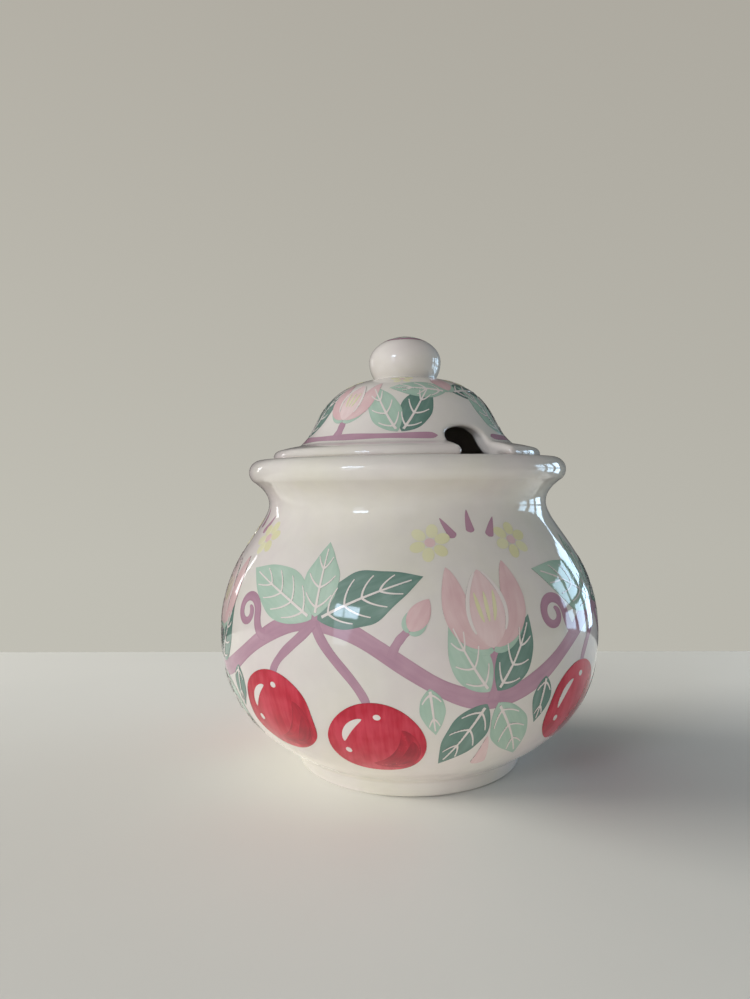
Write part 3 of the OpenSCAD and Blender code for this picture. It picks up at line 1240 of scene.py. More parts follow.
@dataclass
class Canvas:
    """A turned form that is painted, and what is painted on it.

    Strokes and dots are gathered by pigment. Each pigment becomes one thin slab of colour,
    a few hundredths of a millimetre proud, because the real paint lies under the glaze.

    Attributes:
        name: What its pieces' names begin with.
        body: The body that its pieces ride with.
        line: The form's painted outline.
        seed: Where its random draws start.
        strokes: The strokes of each pigment.
        dots: The dabs of each pigment.
        rng: Its random draws.
        arc: How far along the outline each of its points lies.
    """

    name: str
    body: str
    line: np.ndarray
    seed: int
    strokes: dict[Pigment, list[Stroke]] = field(default_factory=dict)
    dots: dict[Pigment, list[Dab]] = field(default_factory=dict)
    rng: np.random.Generator = field(init=False)
    arc: np.ndarray = field(init=False)

    # How deep a slab reaches into the body, so that no gap shows under it
    SINK: ClassVar[float] = 0.12
    # How much higher a stroke lies for each one under it
    LAYER: ClassVar[float] = 0.006
    # Keeps the strokes of one layer out of one plane
    SPREAD: ClassVar[float] = 0.001
    # How much higher a dab lies than a stroke
    DAB_LIFT: ClassVar[float] = 0.02
    # Widest step between a stroke's points across it
    COLUMN: ClassVar[float] = 1.6
    # Half the width that a stroke has at least
    THIN: ClassVar[float] = 0.02
    # How unevenly the brush is loaded from stroke to stroke
    JITTER: ClassVar[float] = 0.06
    # How many sides a dab has
    DAB_SIDES: ClassVar[int] = 16
    # How far the slabs of each colour stand over the form
    LIFT: ClassVar[dict[Pigment, float]] = {
        Pigment.MAUVE: 0.03, Pigment.SAGE: 0.048, Pigment.MINT: 0.066, Pigment.PINK: 0.084,
        Pigment.RED: 0.102, Pigment.YELLOW: 0.12, Pigment.WHITE: 0.138,
    }

    def __post_init__(self) -> None:
        """Measures the line."""
        self.rng = np.random.default_rng(self.seed)
        self.arc = np.r_[0, np.cumsum(np.linalg.norm(np.diff(self.line, axis=0), axis=1))]

    def radius(self, height: np.ndarray) -> np.ndarray:
        """The form's radius at an arc height."""
        return np.interp(height, self.arc, self.line[:, 0])

    def place(self, points: np.ndarray, azimuth: float, height: float, turn: float = 0.0) -> np.ndarray:
        """Turns a drawing and sets it on the form.

        Args:
            points: The drawing, in millimetres to the right and up.
            azimuth: Where its origin goes around the form.
            height: Where its origin goes up the form, as an arc height.
            turn: How far it is turned anticlockwise.

        Returns:
            Azimuths in radians and arc heights.
        """
        points = np.atleast_2d(np.asarray(points, float))
        c, s = math.cos(math.radians(turn)), math.sin(math.radians(turn))
        x, y = points[:, 0] * c - points[:, 1] * s, points[:, 0] * s + points[:, 1] * c
        up = height + y
        return np.stack([math.radians(azimuth) + x / self.radius(up), up], 1)

    def wobble(self, count: int, amount: float) -> np.ndarray:
        """The small unevenness of a hand.

        Args:
            count: How many points the stroke has.
            amount: How strong it is.

        Returns:
            A factor about 1 for each point.
        """
        t = np.linspace(0, 1, count)
        waves = np.zeros(count)
        for k in (1, 2, 3):
            size = self.rng.uniform(-1, 1)
            waves += size * np.sin(math.tau * (k * t + self.rng.uniform()))
        return 1 + amount * waves

    def stroke(self, pigment: Pigment, line: np.ndarray, half: np.ndarray, tone: float = 0.0,
               layer: int = 0) -> None:
        """Adds a stroke.

        Args:
            pigment: Its colour.
            line: Its middle line on the form.
            half: Half its width along the line.
            tone: How loaded the brush is.
            layer: How many strokes of the same colour it lies on.
        """
        jitter = self.rng.uniform(-self.JITTER, self.JITTER)
        stroke = Stroke(line, np.asarray(half, float), tone + jitter, layer)
        self.strokes.setdefault(pigment, []).append(stroke)

    def dot(self, pigment: Pigment, azimuth: float, height: float, half_long: float, half_wide: float,
            turn: float = 0.0, tone: float = 0.0) -> None:
        """Adds a dab of the brush's tip.

        Args:
            pigment: Its colour.
            azimuth: Where it is round the form.
            height: Where it is up the form, as an arc height.
            half_long: Half its length.
            half_wide: Half its width.
            turn: How far it is turned anticlockwise.
            tone: How loaded the brush is.
        """
        dab = Dab(math.radians(azimuth), height, half_long, half_wide, math.radians(turn), tone)
        self.dots.setdefault(pigment, []).append(dab)

    def slab(self, stroke: Stroke, lift: float) -> tuple[np.ndarray, ...]:
        """The flat closed slab of a stroke.

        Args:
            stroke: The stroke.
            lift: How far its top stands over the surface.

        Returns:
            Points, azimuths, quads, and the attributes brush, tone and edge of each point.
        """
        line, half = stroke.line, np.maximum(stroke.half, self.THIN)
        columns = max(3, int(math.ceil(2 * half.max() / self.COLUMN)) + 1)
        radius = self.radius(line[:, 1])
        flat = np.stack([np.gradient(line[:, 0]) * radius, np.gradient(line[:, 1])], 1)
        flat /= np.linalg.norm(flat, axis=1)[:, None]
        side = np.stack([flat[:, 1], -flat[:, 0]], 1)
        across = np.linspace(-1, 1, columns)
        offset = half[:, None] * across
        height = line[:, 1][:, None] + offset * side[:, 1][:, None]
        azimuth = line[:, 0][:, None] + offset * side[:, 0][:, None] / self.radius(height)
        run = np.diff(line, axis=0) * np.stack([radius[:-1], np.ones(len(line) - 1)], 1)
        along = np.r_[0, np.cumsum(np.linalg.norm(run, axis=1))]
        rows = len(line)
        size = rows * columns
        top = np.stack([np.zeros(size), height.ravel(), np.full(size, lift)], 1)
        bottom = top.copy()
        bottom[:, 2] = -self.SINK
        brush = np.stack([np.repeat(along, columns), offset.ravel(),
                          np.full(size, self.rng.uniform(0, BRUSH_RANGE))], 1)
        edge = np.tile(np.abs(across), rows)
        index = np.arange(size).reshape(rows, columns)
        a, b, c, d = index[:-1, :-1], index[:-1, 1:], index[1:, 1:], index[1:, :-1]
        upper = np.stack([a, b, c, d], -1).reshape(-1, 4)
        rim = np.concatenate([index[0, :], index[1:, -1], index[-1, -2::-1], index[-2:0:-1, 0]])
        after = np.roll(rim, -1)
        sides = np.stack([rim, rim + size, after + size, after], 1)
        quads = np.concatenate([upper, upper[:, ::-1] + size, sides])
        return (np.concatenate([top, bottom]), np.tile(azimuth.ravel(), 2), quads,
                np.tile(brush, (2, 1)), np.full(2 * size, stroke.tone), np.tile(edge, 2))

    def stroke_piece(self, pigment: Pigment, tree: NodeTree, form: Object,
                     finish: Material) -> Object:
        """Makes the one mesh of a pigment's strokes.

        Args:
            pigment: The pigment.
            tree: The tree that wraps slabs round the form.
            form: The form's outline.
            finish: The pigment's material.

        Returns:
            The piece.
        """
        slabs = [self.slab(s, self.LIFT[pigment] + self.LAYER * s.layer + self.SPREAD * (k % 4))
                 for k, s in enumerate(self.strokes[pigment])]
        starts = np.r_[0, np.cumsum([len(s[0]) for s in slabs])]
        quads = np.concatenate([s[2] + start for s, start in zip(slabs, starts)])
        points = np.concatenate([s[0] for s in slabs]) * MM
        obj = mesh_object(f"{self.name}_{pigment.name.lower()}_brushwork", points, faces=quads.tolist())
        add_attribute(obj.data, "azimuth", "FLOAT", np.concatenate([s[1] for s in slabs]))
        add_attribute(obj.data, "brush", "FLOAT_VECTOR", np.concatenate([s[3] for s in slabs]))
        add_attribute(obj.data, "tone", "FLOAT", np.concatenate([s[4] for s in slabs]))
        add_attribute(obj.data, "edge", "FLOAT", np.concatenate([s[5] for s in slabs]))
        return run_tree(obj, tree, {"Form": form, "Finish": finish})

    def dot_piece(self, pigment: Pigment, tree: NodeTree, form: Object,
                  finish: Material) -> Object:
        """Makes the one mesh of a pigment's dabs.

        Args:
            pigment: The pigment.
            tree: The tree that sets dabs on the form.
            form: The form's outline.
            finish: The pigment's material.

        Returns:
            The piece.
        """
        table = np.array(self.dots[pigment])
        lift = self.LIFT[pigment] + self.DAB_LIFT
        points = np.stack([np.zeros(len(table)), table[:, 1], np.full(len(table), -self.SINK)], 1) * MM
        thick = np.full(len(table), lift + self.SINK)
        obj = mesh_object(f"{self.name}_{pigment.name.lower()}_dots", points)
        add_attribute(obj.data, "azimuth", "FLOAT", table[:, 0])
        size = np.stack([table[:, 2], table[:, 3], thick], 1)
        add_attribute(obj.data, "dab", "FLOAT_VECTOR", size * MM)
        add_attribute(obj.data, "turn", "FLOAT", table[:, 4])
        add_attribute(obj.data, "tone", "FLOAT", table[:, 5])
        spread = self.rng.uniform(0, BRUSH_RANGE, (len(table), 3))
        add_attribute(obj.data, "brush", "FLOAT_VECTOR", spread)
        return run_tree(obj, tree, {"Sides": self.DAB_SIDES, "Form": form, "Finish": finish})


def add_attribute(mesh: Mesh, name: str, kind: str, values: np.ndarray) -> None:
    """Stores one value for each point of a mesh.

    Args:
        mesh: The mesh.
        name: The attribute's name.
        kind: "FLOAT" or "FLOAT_VECTOR".
        values: The values.
    """
    attribute = mesh.attributes.new(name, kind, "POINT")
    key = "vector" if kind == "FLOAT_VECTOR" else "value"
    attribute.data.foreach_set(key, values.astype(float).ravel())


def leaf_half(t: np.ndarray | float) -> np.ndarray | float:
    """A leaf's width at a share of its length, as a share of its widest."""
    return np.sin(math.pi * t**0.8)


def petal_half(t: np.ndarray) -> np.ndarray:
    """A petal's width at a share of its length, as a share of its widest: rounder than a leaf."""
    return np.sin(math.pi * t**0.85) ** 0.75


def bow(corners: list[tuple[float, float]], steps: int) -> np.ndarray:
    """The curve that three or four corners pull, from the first to the last.

    Args:
        corners: The corners.
        steps: How many points it has.

    Returns:
        Its points.
    """
    points = np.array(corners, float)[:, None, :]
    t = np.linspace(0, 1, steps)[None, :, None]
    while len(points) > 1:
        points = (1 - t) * points[:-1] + t * points[1:]
    return points[0]


@dataclass
class Motifs:
    """The generic motifs, painted with the strokes of a canvas. Sizes are in millimetres.

    Attributes:
        canvas: What they are painted on.
    """

    canvas: Canvas

    def near(self, azimuth: float, height: float, x: float, y: float) -> tuple[float, float]:
        """The azimuth in degrees and the arc height of a place x to the right and y up from another."""
        spot = self.canvas.place([[x, y]], azimuth, height)[0]
        return math.degrees(spot[0]), float(spot[1])

    def draw(self, pigment: Pigment, spot: tuple[float, ...], line: np.ndarray, half: np.ndarray,
             tone: float = 0.0, layer: int = 0) -> None:
        """Paints one stroke of a motif.

        Args:
            pigment: Its colour.
            spot: The motif's azimuth, its arc height and how far it is turned.
            line: The stroke's middle line in the motif.
            half: Half its width along the line.
            tone: How loaded the brush is.
            layer: How many strokes of the same colour it lies on.
        """
        self.canvas.stroke(pigment, self.canvas.place(line, *spot), half, tone, layer)

    def leaf(self, pigment: Pigment, azimuth: float, height: float, turn: float, length: float,
             width: float, bend: float = 0.0, veins: int = 4) -> None:
        """A pointed leaf with pale veins.

        Args:
            pigment: Its colour.
            azimuth: Where its stalk end is.
            height: Its stalk end's arc height.
            turn: Which way it points, anticlockwise from the right.
            length: Its length.
            width: Its width.
            bend: How far its tip bends to the left.
            veins: How many side veins each half has.
        """
        spot = (azimuth, height, turn)
        t = np.linspace(0, 1, 46)
        blade = np.stack([length * t, bend * t * t], 1)
        self.draw(pigment, spot, blade, width / 2 * leaf_half(t) * self.canvas.wobble(46, 0.03))
        t = np.linspace(0.05, 0.9, 18)
        rib = np.stack([length * t, bend * t * t], 1)
        self.draw(Pigment.WHITE, spot, rib, 0.36 * (1 - 0.6 * t))
        for k in range(veins):
            root = 0.12 + 0.5 * k / max(veins - 1, 1)
            tip = root + 0.17
            reach = 0.8 * width / 2 * leaf_half(tip)
            for side in (-1, 1):
                vein = bow([
                    (length * root, bend * root**2),
                    (length * (root + 0.04), bend * root**2 + side * reach * 0.55),
                    (length * tip, bend * tip**2 + side * reach),
                ], 8)
                self.draw(Pigment.WHITE, spot, vein, 0.27 * (1 - 0.5 * np.linspace(0, 1, 8)))

    def cherry(self, azimuth: float, height: float, radius: float) -> None:
        """A round red fruit with a darker side, a pale glint and a few pale specks.

        Args:
            azimuth: Where its middle is.
            height: Its middle's arc height.
            radius: Its radius.
        """
        spot = (azimuth, height)
        t = np.linspace(-1, 1, 34)
        line = np.stack([0 * t, radius * 0.96 * np.sin(t * math.pi / 2)], 1)
        half = radius * np.cos(t * math.pi / 2) * self.canvas.wobble(34, 0.02)
        self.draw(Pigment.RED, spot, line, half, -0.12)
        t = np.linspace(0, 1, 24)
        for start, end, share, width, tone, layer in (
                (-100, 35, 0.66, 0.26, 0.14, 1),
                (-62, 8, 0.74, 0.14, 0.27, 2)):
            angle = np.radians(start + (end - start) * t)
            shade = share * radius * np.stack([np.cos(angle), np.sin(angle)], 1)
            self.draw(Pigment.RED, spot, shade, width * radius * np.sin(math.pi * t) ** 0.7, tone, layer)
        angle = np.radians(112 + 66 * t)
        glint = 0.64 * radius * np.stack([np.cos(angle), np.sin(angle)], 1)
        self.draw(Pigment.WHITE, spot, glint, 0.085 * radius * np.sin(math.pi * t) ** 0.6)
        for degrees, share in ((202, 0.63), (84, 0.66)):
            angle = math.radians(degrees)
            speck = self.near(*spot, share * radius * math.cos(angle), share * radius * math.sin(angle))
            self.canvas.dot(Pigment.WHITE, *speck, 0.075 * radius, 0.06 * radius, degrees + 90)

    def stem(self, azimuth: float, height: float, corners: list[tuple[float, float]], thick: float,
             thin: float) -> None:
        """A mauve stem.

        Args:
            azimuth: Where its corners are measured from.
            height: Where its corners are measured from, as an arc height.
            corners: The corners that pull it, from its thick end to its thin one.
            thick: Its thickness at its start.
            thin: Its thickness at its end.
        """
        t = np.linspace(0, 1, 24)
        half = (thick + (thin - thick) * t) / 2 * self.canvas.wobble(24, 0.05)
        half *= np.minimum(1, np.sqrt(np.maximum(1 - t, 0) * 24) * 0.55 + 0.15)
        self.draw(Pigment.MAUVE, (azimuth, height), bow(corners, 24), half, 0, 1)

    def tendril(self, azimuth: float, height: float, side: int, rise: float, radius: float,
                thick: float) -> None:
        """A mauve shoot that rises and rolls up to one side.

        Args:
            azimuth: Where its root is.
            height: Its root's arc height.
            side: 1 to roll up to the right, -1 to the left.
            rise: How far it rises before it rolls up.
            radius: Radius of the curl's outer turn.
            thick: Its thickness at the root.
        """
        steps = 56
        stalk = bow([(-4.0 * side, 2.6), (-0.5 * side, 0.3 * rise), (0, rise)], steps // 4)
        turn = np.linspace(0, 1, steps)
        angle = np.radians(180 - 430 * turn)
        reach = radius * (1 - 0.68 * turn**0.9)
        curl = np.stack([side * (radius + reach * np.cos(angle)), rise + reach * np.sin(angle)], 1)
        line = joined(stalk, curl)
        t = np.linspace(0, 1, len(line))
        half = thick / 2 * (1 - 0.45 * t) * self.canvas.wobble(len(line), 0.04)
        half *= np.minimum(1, np.sqrt((1 - t) * 26) * 0.55 + 0.1)
        self.draw(Pigment.MAUVE, (azimuth, height), line, half, 0, 1)

    def comma(self, pigment: Pigment, azimuth: float, height: float, turn: float, length: float,
              width: float) -> None:
        """A dab that is pressed down and drawn out to a point.

        Args:
            pigment: Its colour.
            azimuth: Where its round end is.
            height: Its round end's arc height.
            turn: Which way it points, anticlockwise from the right.
            length: Its length.
            width: Its width.
        """
        t = np.linspace(0, 1, 22)
        line = np.stack([length * t, 0 * t], 1)
        half = width / 2 * np.minimum(1, np.sqrt(t * 7) + 0.1) * (1 - t) ** 0.65
        self.draw(pigment, (azimuth, height, turn), line, half)

    def tulip(self, azimuth: float, height: float, turn: float, size: float) -> None:
        """A cupped flower of three petals on two pale green sepals.

        Args:
            azimuth: Where its base is.
            height: Its base's arc height.
            turn: How far it leans to the left.
            size: Its height.
        """
        spot = (azimuth, height, turn)
        t = np.linspace(0, 1, 26)
        for side in (-1, 1):
            petal = size * bow([(0, 0.02), (side * 0.50, 0.22), (side * 0.34, 0.66), (side * 0.37, 1.0)], 26)
            self.draw(Pigment.PINK, spot, petal, 0.17 * size * petal_half(t), 0.12)
        middle = size * np.stack([0 * t, 0.93 * t], 1)
        half = 0.235 * size * petal_half(t)
        self.draw(Pigment.PINK, spot, middle, half, -0.2, 1)
        for side in (-1, 1):
            edge = middle[5:-1] + np.stack([side * (half[5:-1] + 0.006 * size), 0 * half[5:-1]], 1)
            fade = np.sin(math.pi * np.linspace(0.08, 0.92, len(edge))) ** 0.5
            self.draw(Pigment.WHITE, spot, edge, 0.024 * size * fade)
            sepal = size * bow([(0, -0.03), (side * 0.22, 0.0), (side * 0.47, 0.26)], 26)
            self.draw(Pigment.MINT, spot, sepal, 0.085 * size * petal_half(t))
        for x in (-0.11, 0.0, 0.11):
            line = size * bow([(x * 0.6, 0.3), (x, 0.45), (x * 1.1, 0.66)], 26)
            self.draw(Pigment.YELLOW, spot, line, 0.024 * size * np.sin(math.pi * t) ** 0.5)

    def bud(self, azimuth: float, height: float, turn: float, size: float) -> None:
        """A closed pink bud held by two sepals.

        Args:
            azimuth: Where its base is.
            height: Its base's arc height.
            turn: How far it leans to the left.
            size: Its height.
        """
        spot = (azimuth, height, turn)
        t = np.linspace(0, 1, 22)
        line = size * np.stack([0 * t, t], 1)
        self.draw(Pigment.PINK, spot, line, 0.3 * size * petal_half(t), 0.2)
        for side in (-1, 1):
            sepal = size * bow([(0, -0.05), (side * 0.3, 0.05), (side * 0.26, 0.5)], 22)
            self.draw(Pigment.MINT, spot, sepal, 0.1 * size * petal_half(t))

    def rosette(self, pigment: Pigment, heart: Pigment, azimuth: float, height: float, radius: float,
                dab: float, count: int = 6) -> None:
        """A ring of dabs about a heart of another colour.

        Args:
            pigment: The dabs' colour.
            heart: The heart's colour.
            azimuth: Where its middle is.
            height: Its middle's arc height.
            radius: Where the dabs' middles lie.
            dab: Half a dab's length.
            count: How many dabs there are.
        """
        rng = self.canvas.rng
        for k in range(count):
            angle = math.tau * (k + 0.3) / count + rng.uniform(-0.07, 0.07)
            spot = self.near(azimuth, height, radius * math.cos(angle), radius * math.sin(angle))
            long = dab * rng.uniform(0.94, 1.06)
            self.canvas.dot(pigment, *spot, long, dab * 0.78, math.degrees(angle), rng.uniform(-0.2, 0.2))
        self.canvas.dot(heart, azimuth, height, dab * 0.7, dab * 0.66)


@dataclass
class Kit:
    """What every sub-assembly needs: the trees and the materials.

    Attributes:
        thrown: Turns an outline about the axis.
        brushwork: Wraps slabs of colour round a form.
        dot_work: Sets dabs of colour on a form.
        white: The white body under its glaze.
        paints: The underglaze colours.
    """

    thrown: NodeTree
    brushwork: NodeTree
    dot_work: NodeTree
    white: Material
    paints: dict[Pigment, Material]

    @classmethod
    def build(cls) -> Kit:
        """Makes the trees and the materials.
        """
        paints = {pigment: paint.build() for pigment, paint in PAINTS.items()}
        white = WhiteEarthenware().build()
        return cls(thrown_form_tree(), brushwork_tree(), dot_work_tree(), white, paints)

    def paint(self, canvas: Canvas) -> None:
        """Makes the pieces of all that is painted on a canvas.

        Args:
            canvas: The canvas.
        """
        form = line_object(f"{canvas.name}_line", canvas.line)
        pieces = []
        for pigment, finish in self.paints.items():
            if pigment in canvas.strokes:
                pieces.append((canvas.stroke_piece(pigment, self.brushwork, form, finish), pigment))
            if pigment in canvas.dots:
                pieces.append((canvas.dot_piece(pigment, self.dot_work, form, finish), pigment))
        bpy.data.objects.remove(form)
        for piece, pigment in pieces:
            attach(piece, canvas.body)
            report(piece)


def report(piece: Object) -> None:
    """Logs a finished piece."""
    piece.data.calc_loop_triangles()
    LOG.info("%s: %d triangles", piece.name, len(piece.data.loop_triangles))


@dataclass
class Pot:
    """The bowl, with a vine of cherries, leaves and tulips painted round its belly.

    Attributes:
        form: Its outline.
        kit: The trees and the materials.
        repeats: How many waves the vine has.
        first: Azimuth of the first crest.
        vine_height: Arc height of the vine's middle.
        vine_rise: How far a crest stands over it.
        vine_w: The vine's width.
        cherry_r: A cherry's radius.
        turns: How many steps the bowl is turned in.
    """

    form: PotForm
    kit: Kit
    repeats: int = 4
    first: float = -24.0
    vine_height: float = 42.0
    vine_rise: float = 9.0
    vine_w: float = 4.3
    cherry_r: float = 11.8
    turns: int = 288

    def build(self) -> None:
        """Makes the pot and paints it."""
        body = line_object("pot_glazed_body", self.form.outline())
        run_tree(body, self.kit.thrown, {"Turns": self.turns, "Finish": self.kit.white})
        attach(body, "pot")
        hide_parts("pot_body")
        report(body)
        self.decorate()

    def vine_at(self, azimuth: np.ndarray | float) -> np.ndarray | float:
        """The vine's arc height at azimuths in degrees."""
        return self.vine_height + self.vine_rise * np.cos(np.radians(self.repeats * (azimuth - self.first)))

    def decorate(self) -> None:
        """Paints the belly."""
        canvas = Canvas("belly", "pot", self.form.belly_line(), seed=11)
        motifs = Motifs(canvas)
        step = 360 / self.repeats
        self.vine(canvas, self.first + 180 + step / 2)
        for k in range(self.repeats):
            azimuth = self.first + k * step
            self.crest(motifs, azimuth)
            self.trough(motifs, azimuth + step / 2)
            self.shoulder(motifs, azimuth, step)
            for side in (-1, 1):
                self.shoot(motifs, azimuth, side)
        self.kit.paint(canvas)

    def vine(self, canvas: Canvas, azimuth: float) -> None:
        """The vine, once round the pot.

        Args:
            canvas: What it is painted on.
            azimuth: Where it starts and ends, at the pot's back.
        """
        angles = np.linspace(azimuth, azimuth + 360, 289)
        line = np.stack([np.radians(angles), self.vine_at(angles)], 1)
        sway = 1 + 0.1 * np.cos(np.radians(self.repeats * 2 * (angles - self.first)))
        sway += 0.05 * np.sin(np.radians(self.repeats * 5 * (angles - self.first)))
        canvas.stroke(Pigment.MAUVE, line, self.vine_w / 2 * sway)

    def crest(self, motifs: Motifs, azimuth: float) -> None:
        """A pair of cherries that hangs under a crest, and three leaves on top of it.

        Args:
            motifs: The motifs.
            azimuth: Where the crest is.
        """
        crest = self.vine_height + self.vine_rise
        lean = motifs.canvas.rng.uniform(-4, 4)
        motifs.stem(azimuth, crest, [(0, 0), (-3, -5), (-12, -9), (-12.6, -15)], 2.6, 2.0)
        motifs.stem(azimuth, crest, [(0, 0), (3, -8), (12, -12), (13.6, -20)], 2.6, 2.0)
        motifs.cherry(*motifs.near(azimuth, crest, -12.8, -24.4), self.cherry_r)
        motifs.cherry(*motifs.near(azimuth, crest, 13.6, -29.3), self.cherry_r)
        motifs.leaf(Pigment.SAGE, *motifs.near(azimuth, crest, 0.8, 0.4), 31 + lean, 26, 13, -3)
        motifs.leaf(Pigment.MINT, *motifs.near(azimuth, crest, -0.8, 0.4), 149 + lean, 26, 13, 3)
        motifs.leaf(Pigment.MINT, azimuth, crest + 1.0, 88 + lean, 19, 9.5, 1, 3)

    def trough(self, motifs: Motifs, azimuth: float) -> None:
        """A tulip that stands in a trough, with leaves at its foot and under the vine.

        Args:
            motifs: The motifs.
            azimuth: Where the trough is.
        """
        trough = self.vine_height - self.vine_rise
        lean = motifs.canvas.rng.uniform(-5, 5)
        motifs.stem(azimuth, trough, [(0, 0), (1.5, 5), (0, 12.5)], 3.2, 2.4)
        motifs.tulip(azimuth, trough + 12, lean, 20)
        motifs.leaf(Pigment.SAGE, azimuth + 1, trough + 2, 52, 19, 9.5, 3, 3)
        motifs.leaf(Pigment.MINT, azimuth - 1, trough + 2, 128, 19, 9.5, -3, 3)
        motifs.leaf(Pigment.MINT, azimuth + 1.5, trough - 1, -58, 20, 10, -2, 3)
        motifs.leaf(Pigment.SAGE, azimuth - 1.5, trough - 1, -122, 20, 10, 2, 3)
        motifs.comma(Pigment.PINK, azimuth, trough - 21, 90, 11, 4.2)

    def shoulder(self, motifs: Motifs, azimuth: float, step: float) -> None:
        """Pale rosettes and dabs under the neck.

        Args:
            motifs: The motifs.
            azimuth: Where the crest between the rosettes is.
            step: How far it is to the next crest.
        """
        for side in (-1, 1):
            motifs.rosette(Pigment.YELLOW, Pigment.PINK, azimuth + side * 31, 71, 3.3, 1.75)
        for side in (-1, 0, 1):
            spot = motifs.near(azimuth + step / 2, 73.5, side * 4.6, -1.3 * abs(side))
            motifs.comma(Pigment.MAUVE, *spot, 90 - 28 * side, 6.2, 2.5)

    def shoot(self, motifs: Motifs, azimuth: float, side: int) -> None:
        """A side shoot half way down the vine, a bud or a curl, with a leaf below.

        Args:
            motifs: The motifs.
            azimuth: Where the crest is.
            side: 1 for the bud to the crest's right, -1 for the curl to its left.
        """
        if side > 0:
            root = azimuth + 20
            height = float(self.vine_at(root))
            motifs.stem(root, height, [(0, 0), (1.0, 4), (4.5, 6.5)], 2.4, 1.6)
            motifs.bud(*motifs.near(root, height, 4.2, 6.0), -32, 8.5)
        else:
            root = azimuth - 20
            motifs.tendril(root, float(self.vine_at(root)), -1, 7.5, 4.6, 2.9)
        low = azimuth + side * 29
        motifs.leaf(Pigment.SAGE if side < 0 else Pigment.MINT, low, float(self.vine_at(low)) - 1.5,
                    -90 + side * 8, 12, 6, 0, 2)


@dataclass
class Lid:
    """The domed lid with its notch and its ball knob.

    Attributes:
        form: The lid's outline and notch.
        knob: The knob's outline.
        kit: The trees and the materials.
        sectors: How many sectors the dome's decoration has, counted with the notch's.
        knob_turns: How many steps the knob is turned in.
        bare: How far from the notch the mauve line ends.
    """

    form: LidForm
    knob: KnobForm
    kit: Kit
    sectors: int = 5
    knob_turns: int = 96
    bare: float = 17.0

    def build(self) -> None:
        """Makes the dome and the knob and paints them."""
        points, quads, outward = NotchedLid(self.form).surface()
        dome = mesh_object("lid_glazed_dome", points * MM, faces=quads.tolist())
        dome.data.polygons.foreach_set("use_smooth", np.ones(len(quads), bool))
        dome.data.normals_split_custom_set_from_vertices(outward.tolist())
        dome.data.materials.append(self.kit.white)
        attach(dome, "lid")
        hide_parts("lid_dome")
        report(dome)
        knob = line_object("lid_glazed_knob", self.knob.outline())
        run_tree(knob, self.kit.thrown, {"Turns": self.knob_turns, "Finish": self.kit.white})
        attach(knob, "lid")
        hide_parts("lid_knob")
        report(knob)
        self.decorate_dome()
        self.decorate_knob()

    def decorate_dome(self) -> None:
        """Paints a mauve line at the dome's foot, with tulips and leaves above it."""
        canvas = Canvas("dome", "lid", self.form.dome_line(), seed=23)
        motifs = Motifs(canvas)
        notch = self.form.notch_turn
        angles = np.linspace(notch + self.bare, notch + 360 - self.bare, 241)
        ends = np.minimum(angles - angles[0], angles[-1] - angles)
        half = 1.05 * np.minimum(1, np.sqrt(ends / 4) + 0.1) * (1 + 0.15 * np.sin(np.radians(angles * 9)))
        canvas.stroke(Pigment.MAUVE, np.stack([np.radians(angles), np.full(241, 1.5)], 1), half)
        step = 360 / self.sectors
        for k in range(1, self.sectors):
            azimuth = notch + k * step
            lean = canvas.rng.uniform(-6, 6)
            motifs.stem(azimuth, 1.5, [(0, 0), (0.8, 3), (0, 7.6)], 3.0, 1.8)
            motifs.tulip(azimuth, 7.4, lean, 14)
        for k in range(self.sectors):
            azimuth = notch + (k + 0.5) * step
            motifs.leaf(Pigment.SAGE, azimuth + 1, 3.0, 58, 18, 8.5, 2.5, 3)
            motifs.leaf(Pigment.MINT, azimuth - 1, 3.0, 122, 18, 8.5, -2.5, 3)
            motifs.rosette(Pigment.YELLOW, Pigment.PINK, azimuth, 24.5, 2.1, 1.15, 5)
        motifs.leaf(Pigment.SAGE, notch + 3, 16.5, 14, 15, 7.5, -2, 3)
        motifs.leaf(Pigment.MINT, notch - 3, 16.5, 166, 15, 7.5, 2, 3)
        motifs.bud(notch, 17.0, 0, 9)
        self.kit.paint(canvas)

    def decorate_knob(self) -> None:
        """Paints a mauve ring and a pink spot on the knob's top, with dots between them."""
        canvas = Canvas("knob", "lid", self.knob.crown_line(), seed=31)
        top = canvas.arc[-1]
        angles = np.radians(np.linspace(0, 360, 61))
        for pigment, down, half, tone in ((Pigment.MAUVE, 6.4, 0.7, 0.0), (Pigment.PINK, 1.5, 1.4, 0.2)):
            ring = np.stack([angles, np.full(61, top - down)], 1)
            canvas.stroke(pigment, ring, np.full(61, half), tone)
        for k in range(10):
            canvas.dot(Pigment.MINT, 36 * k, top - 4.4, 0.62, 0.62)
        self.kit.paint(canvas)


# The room


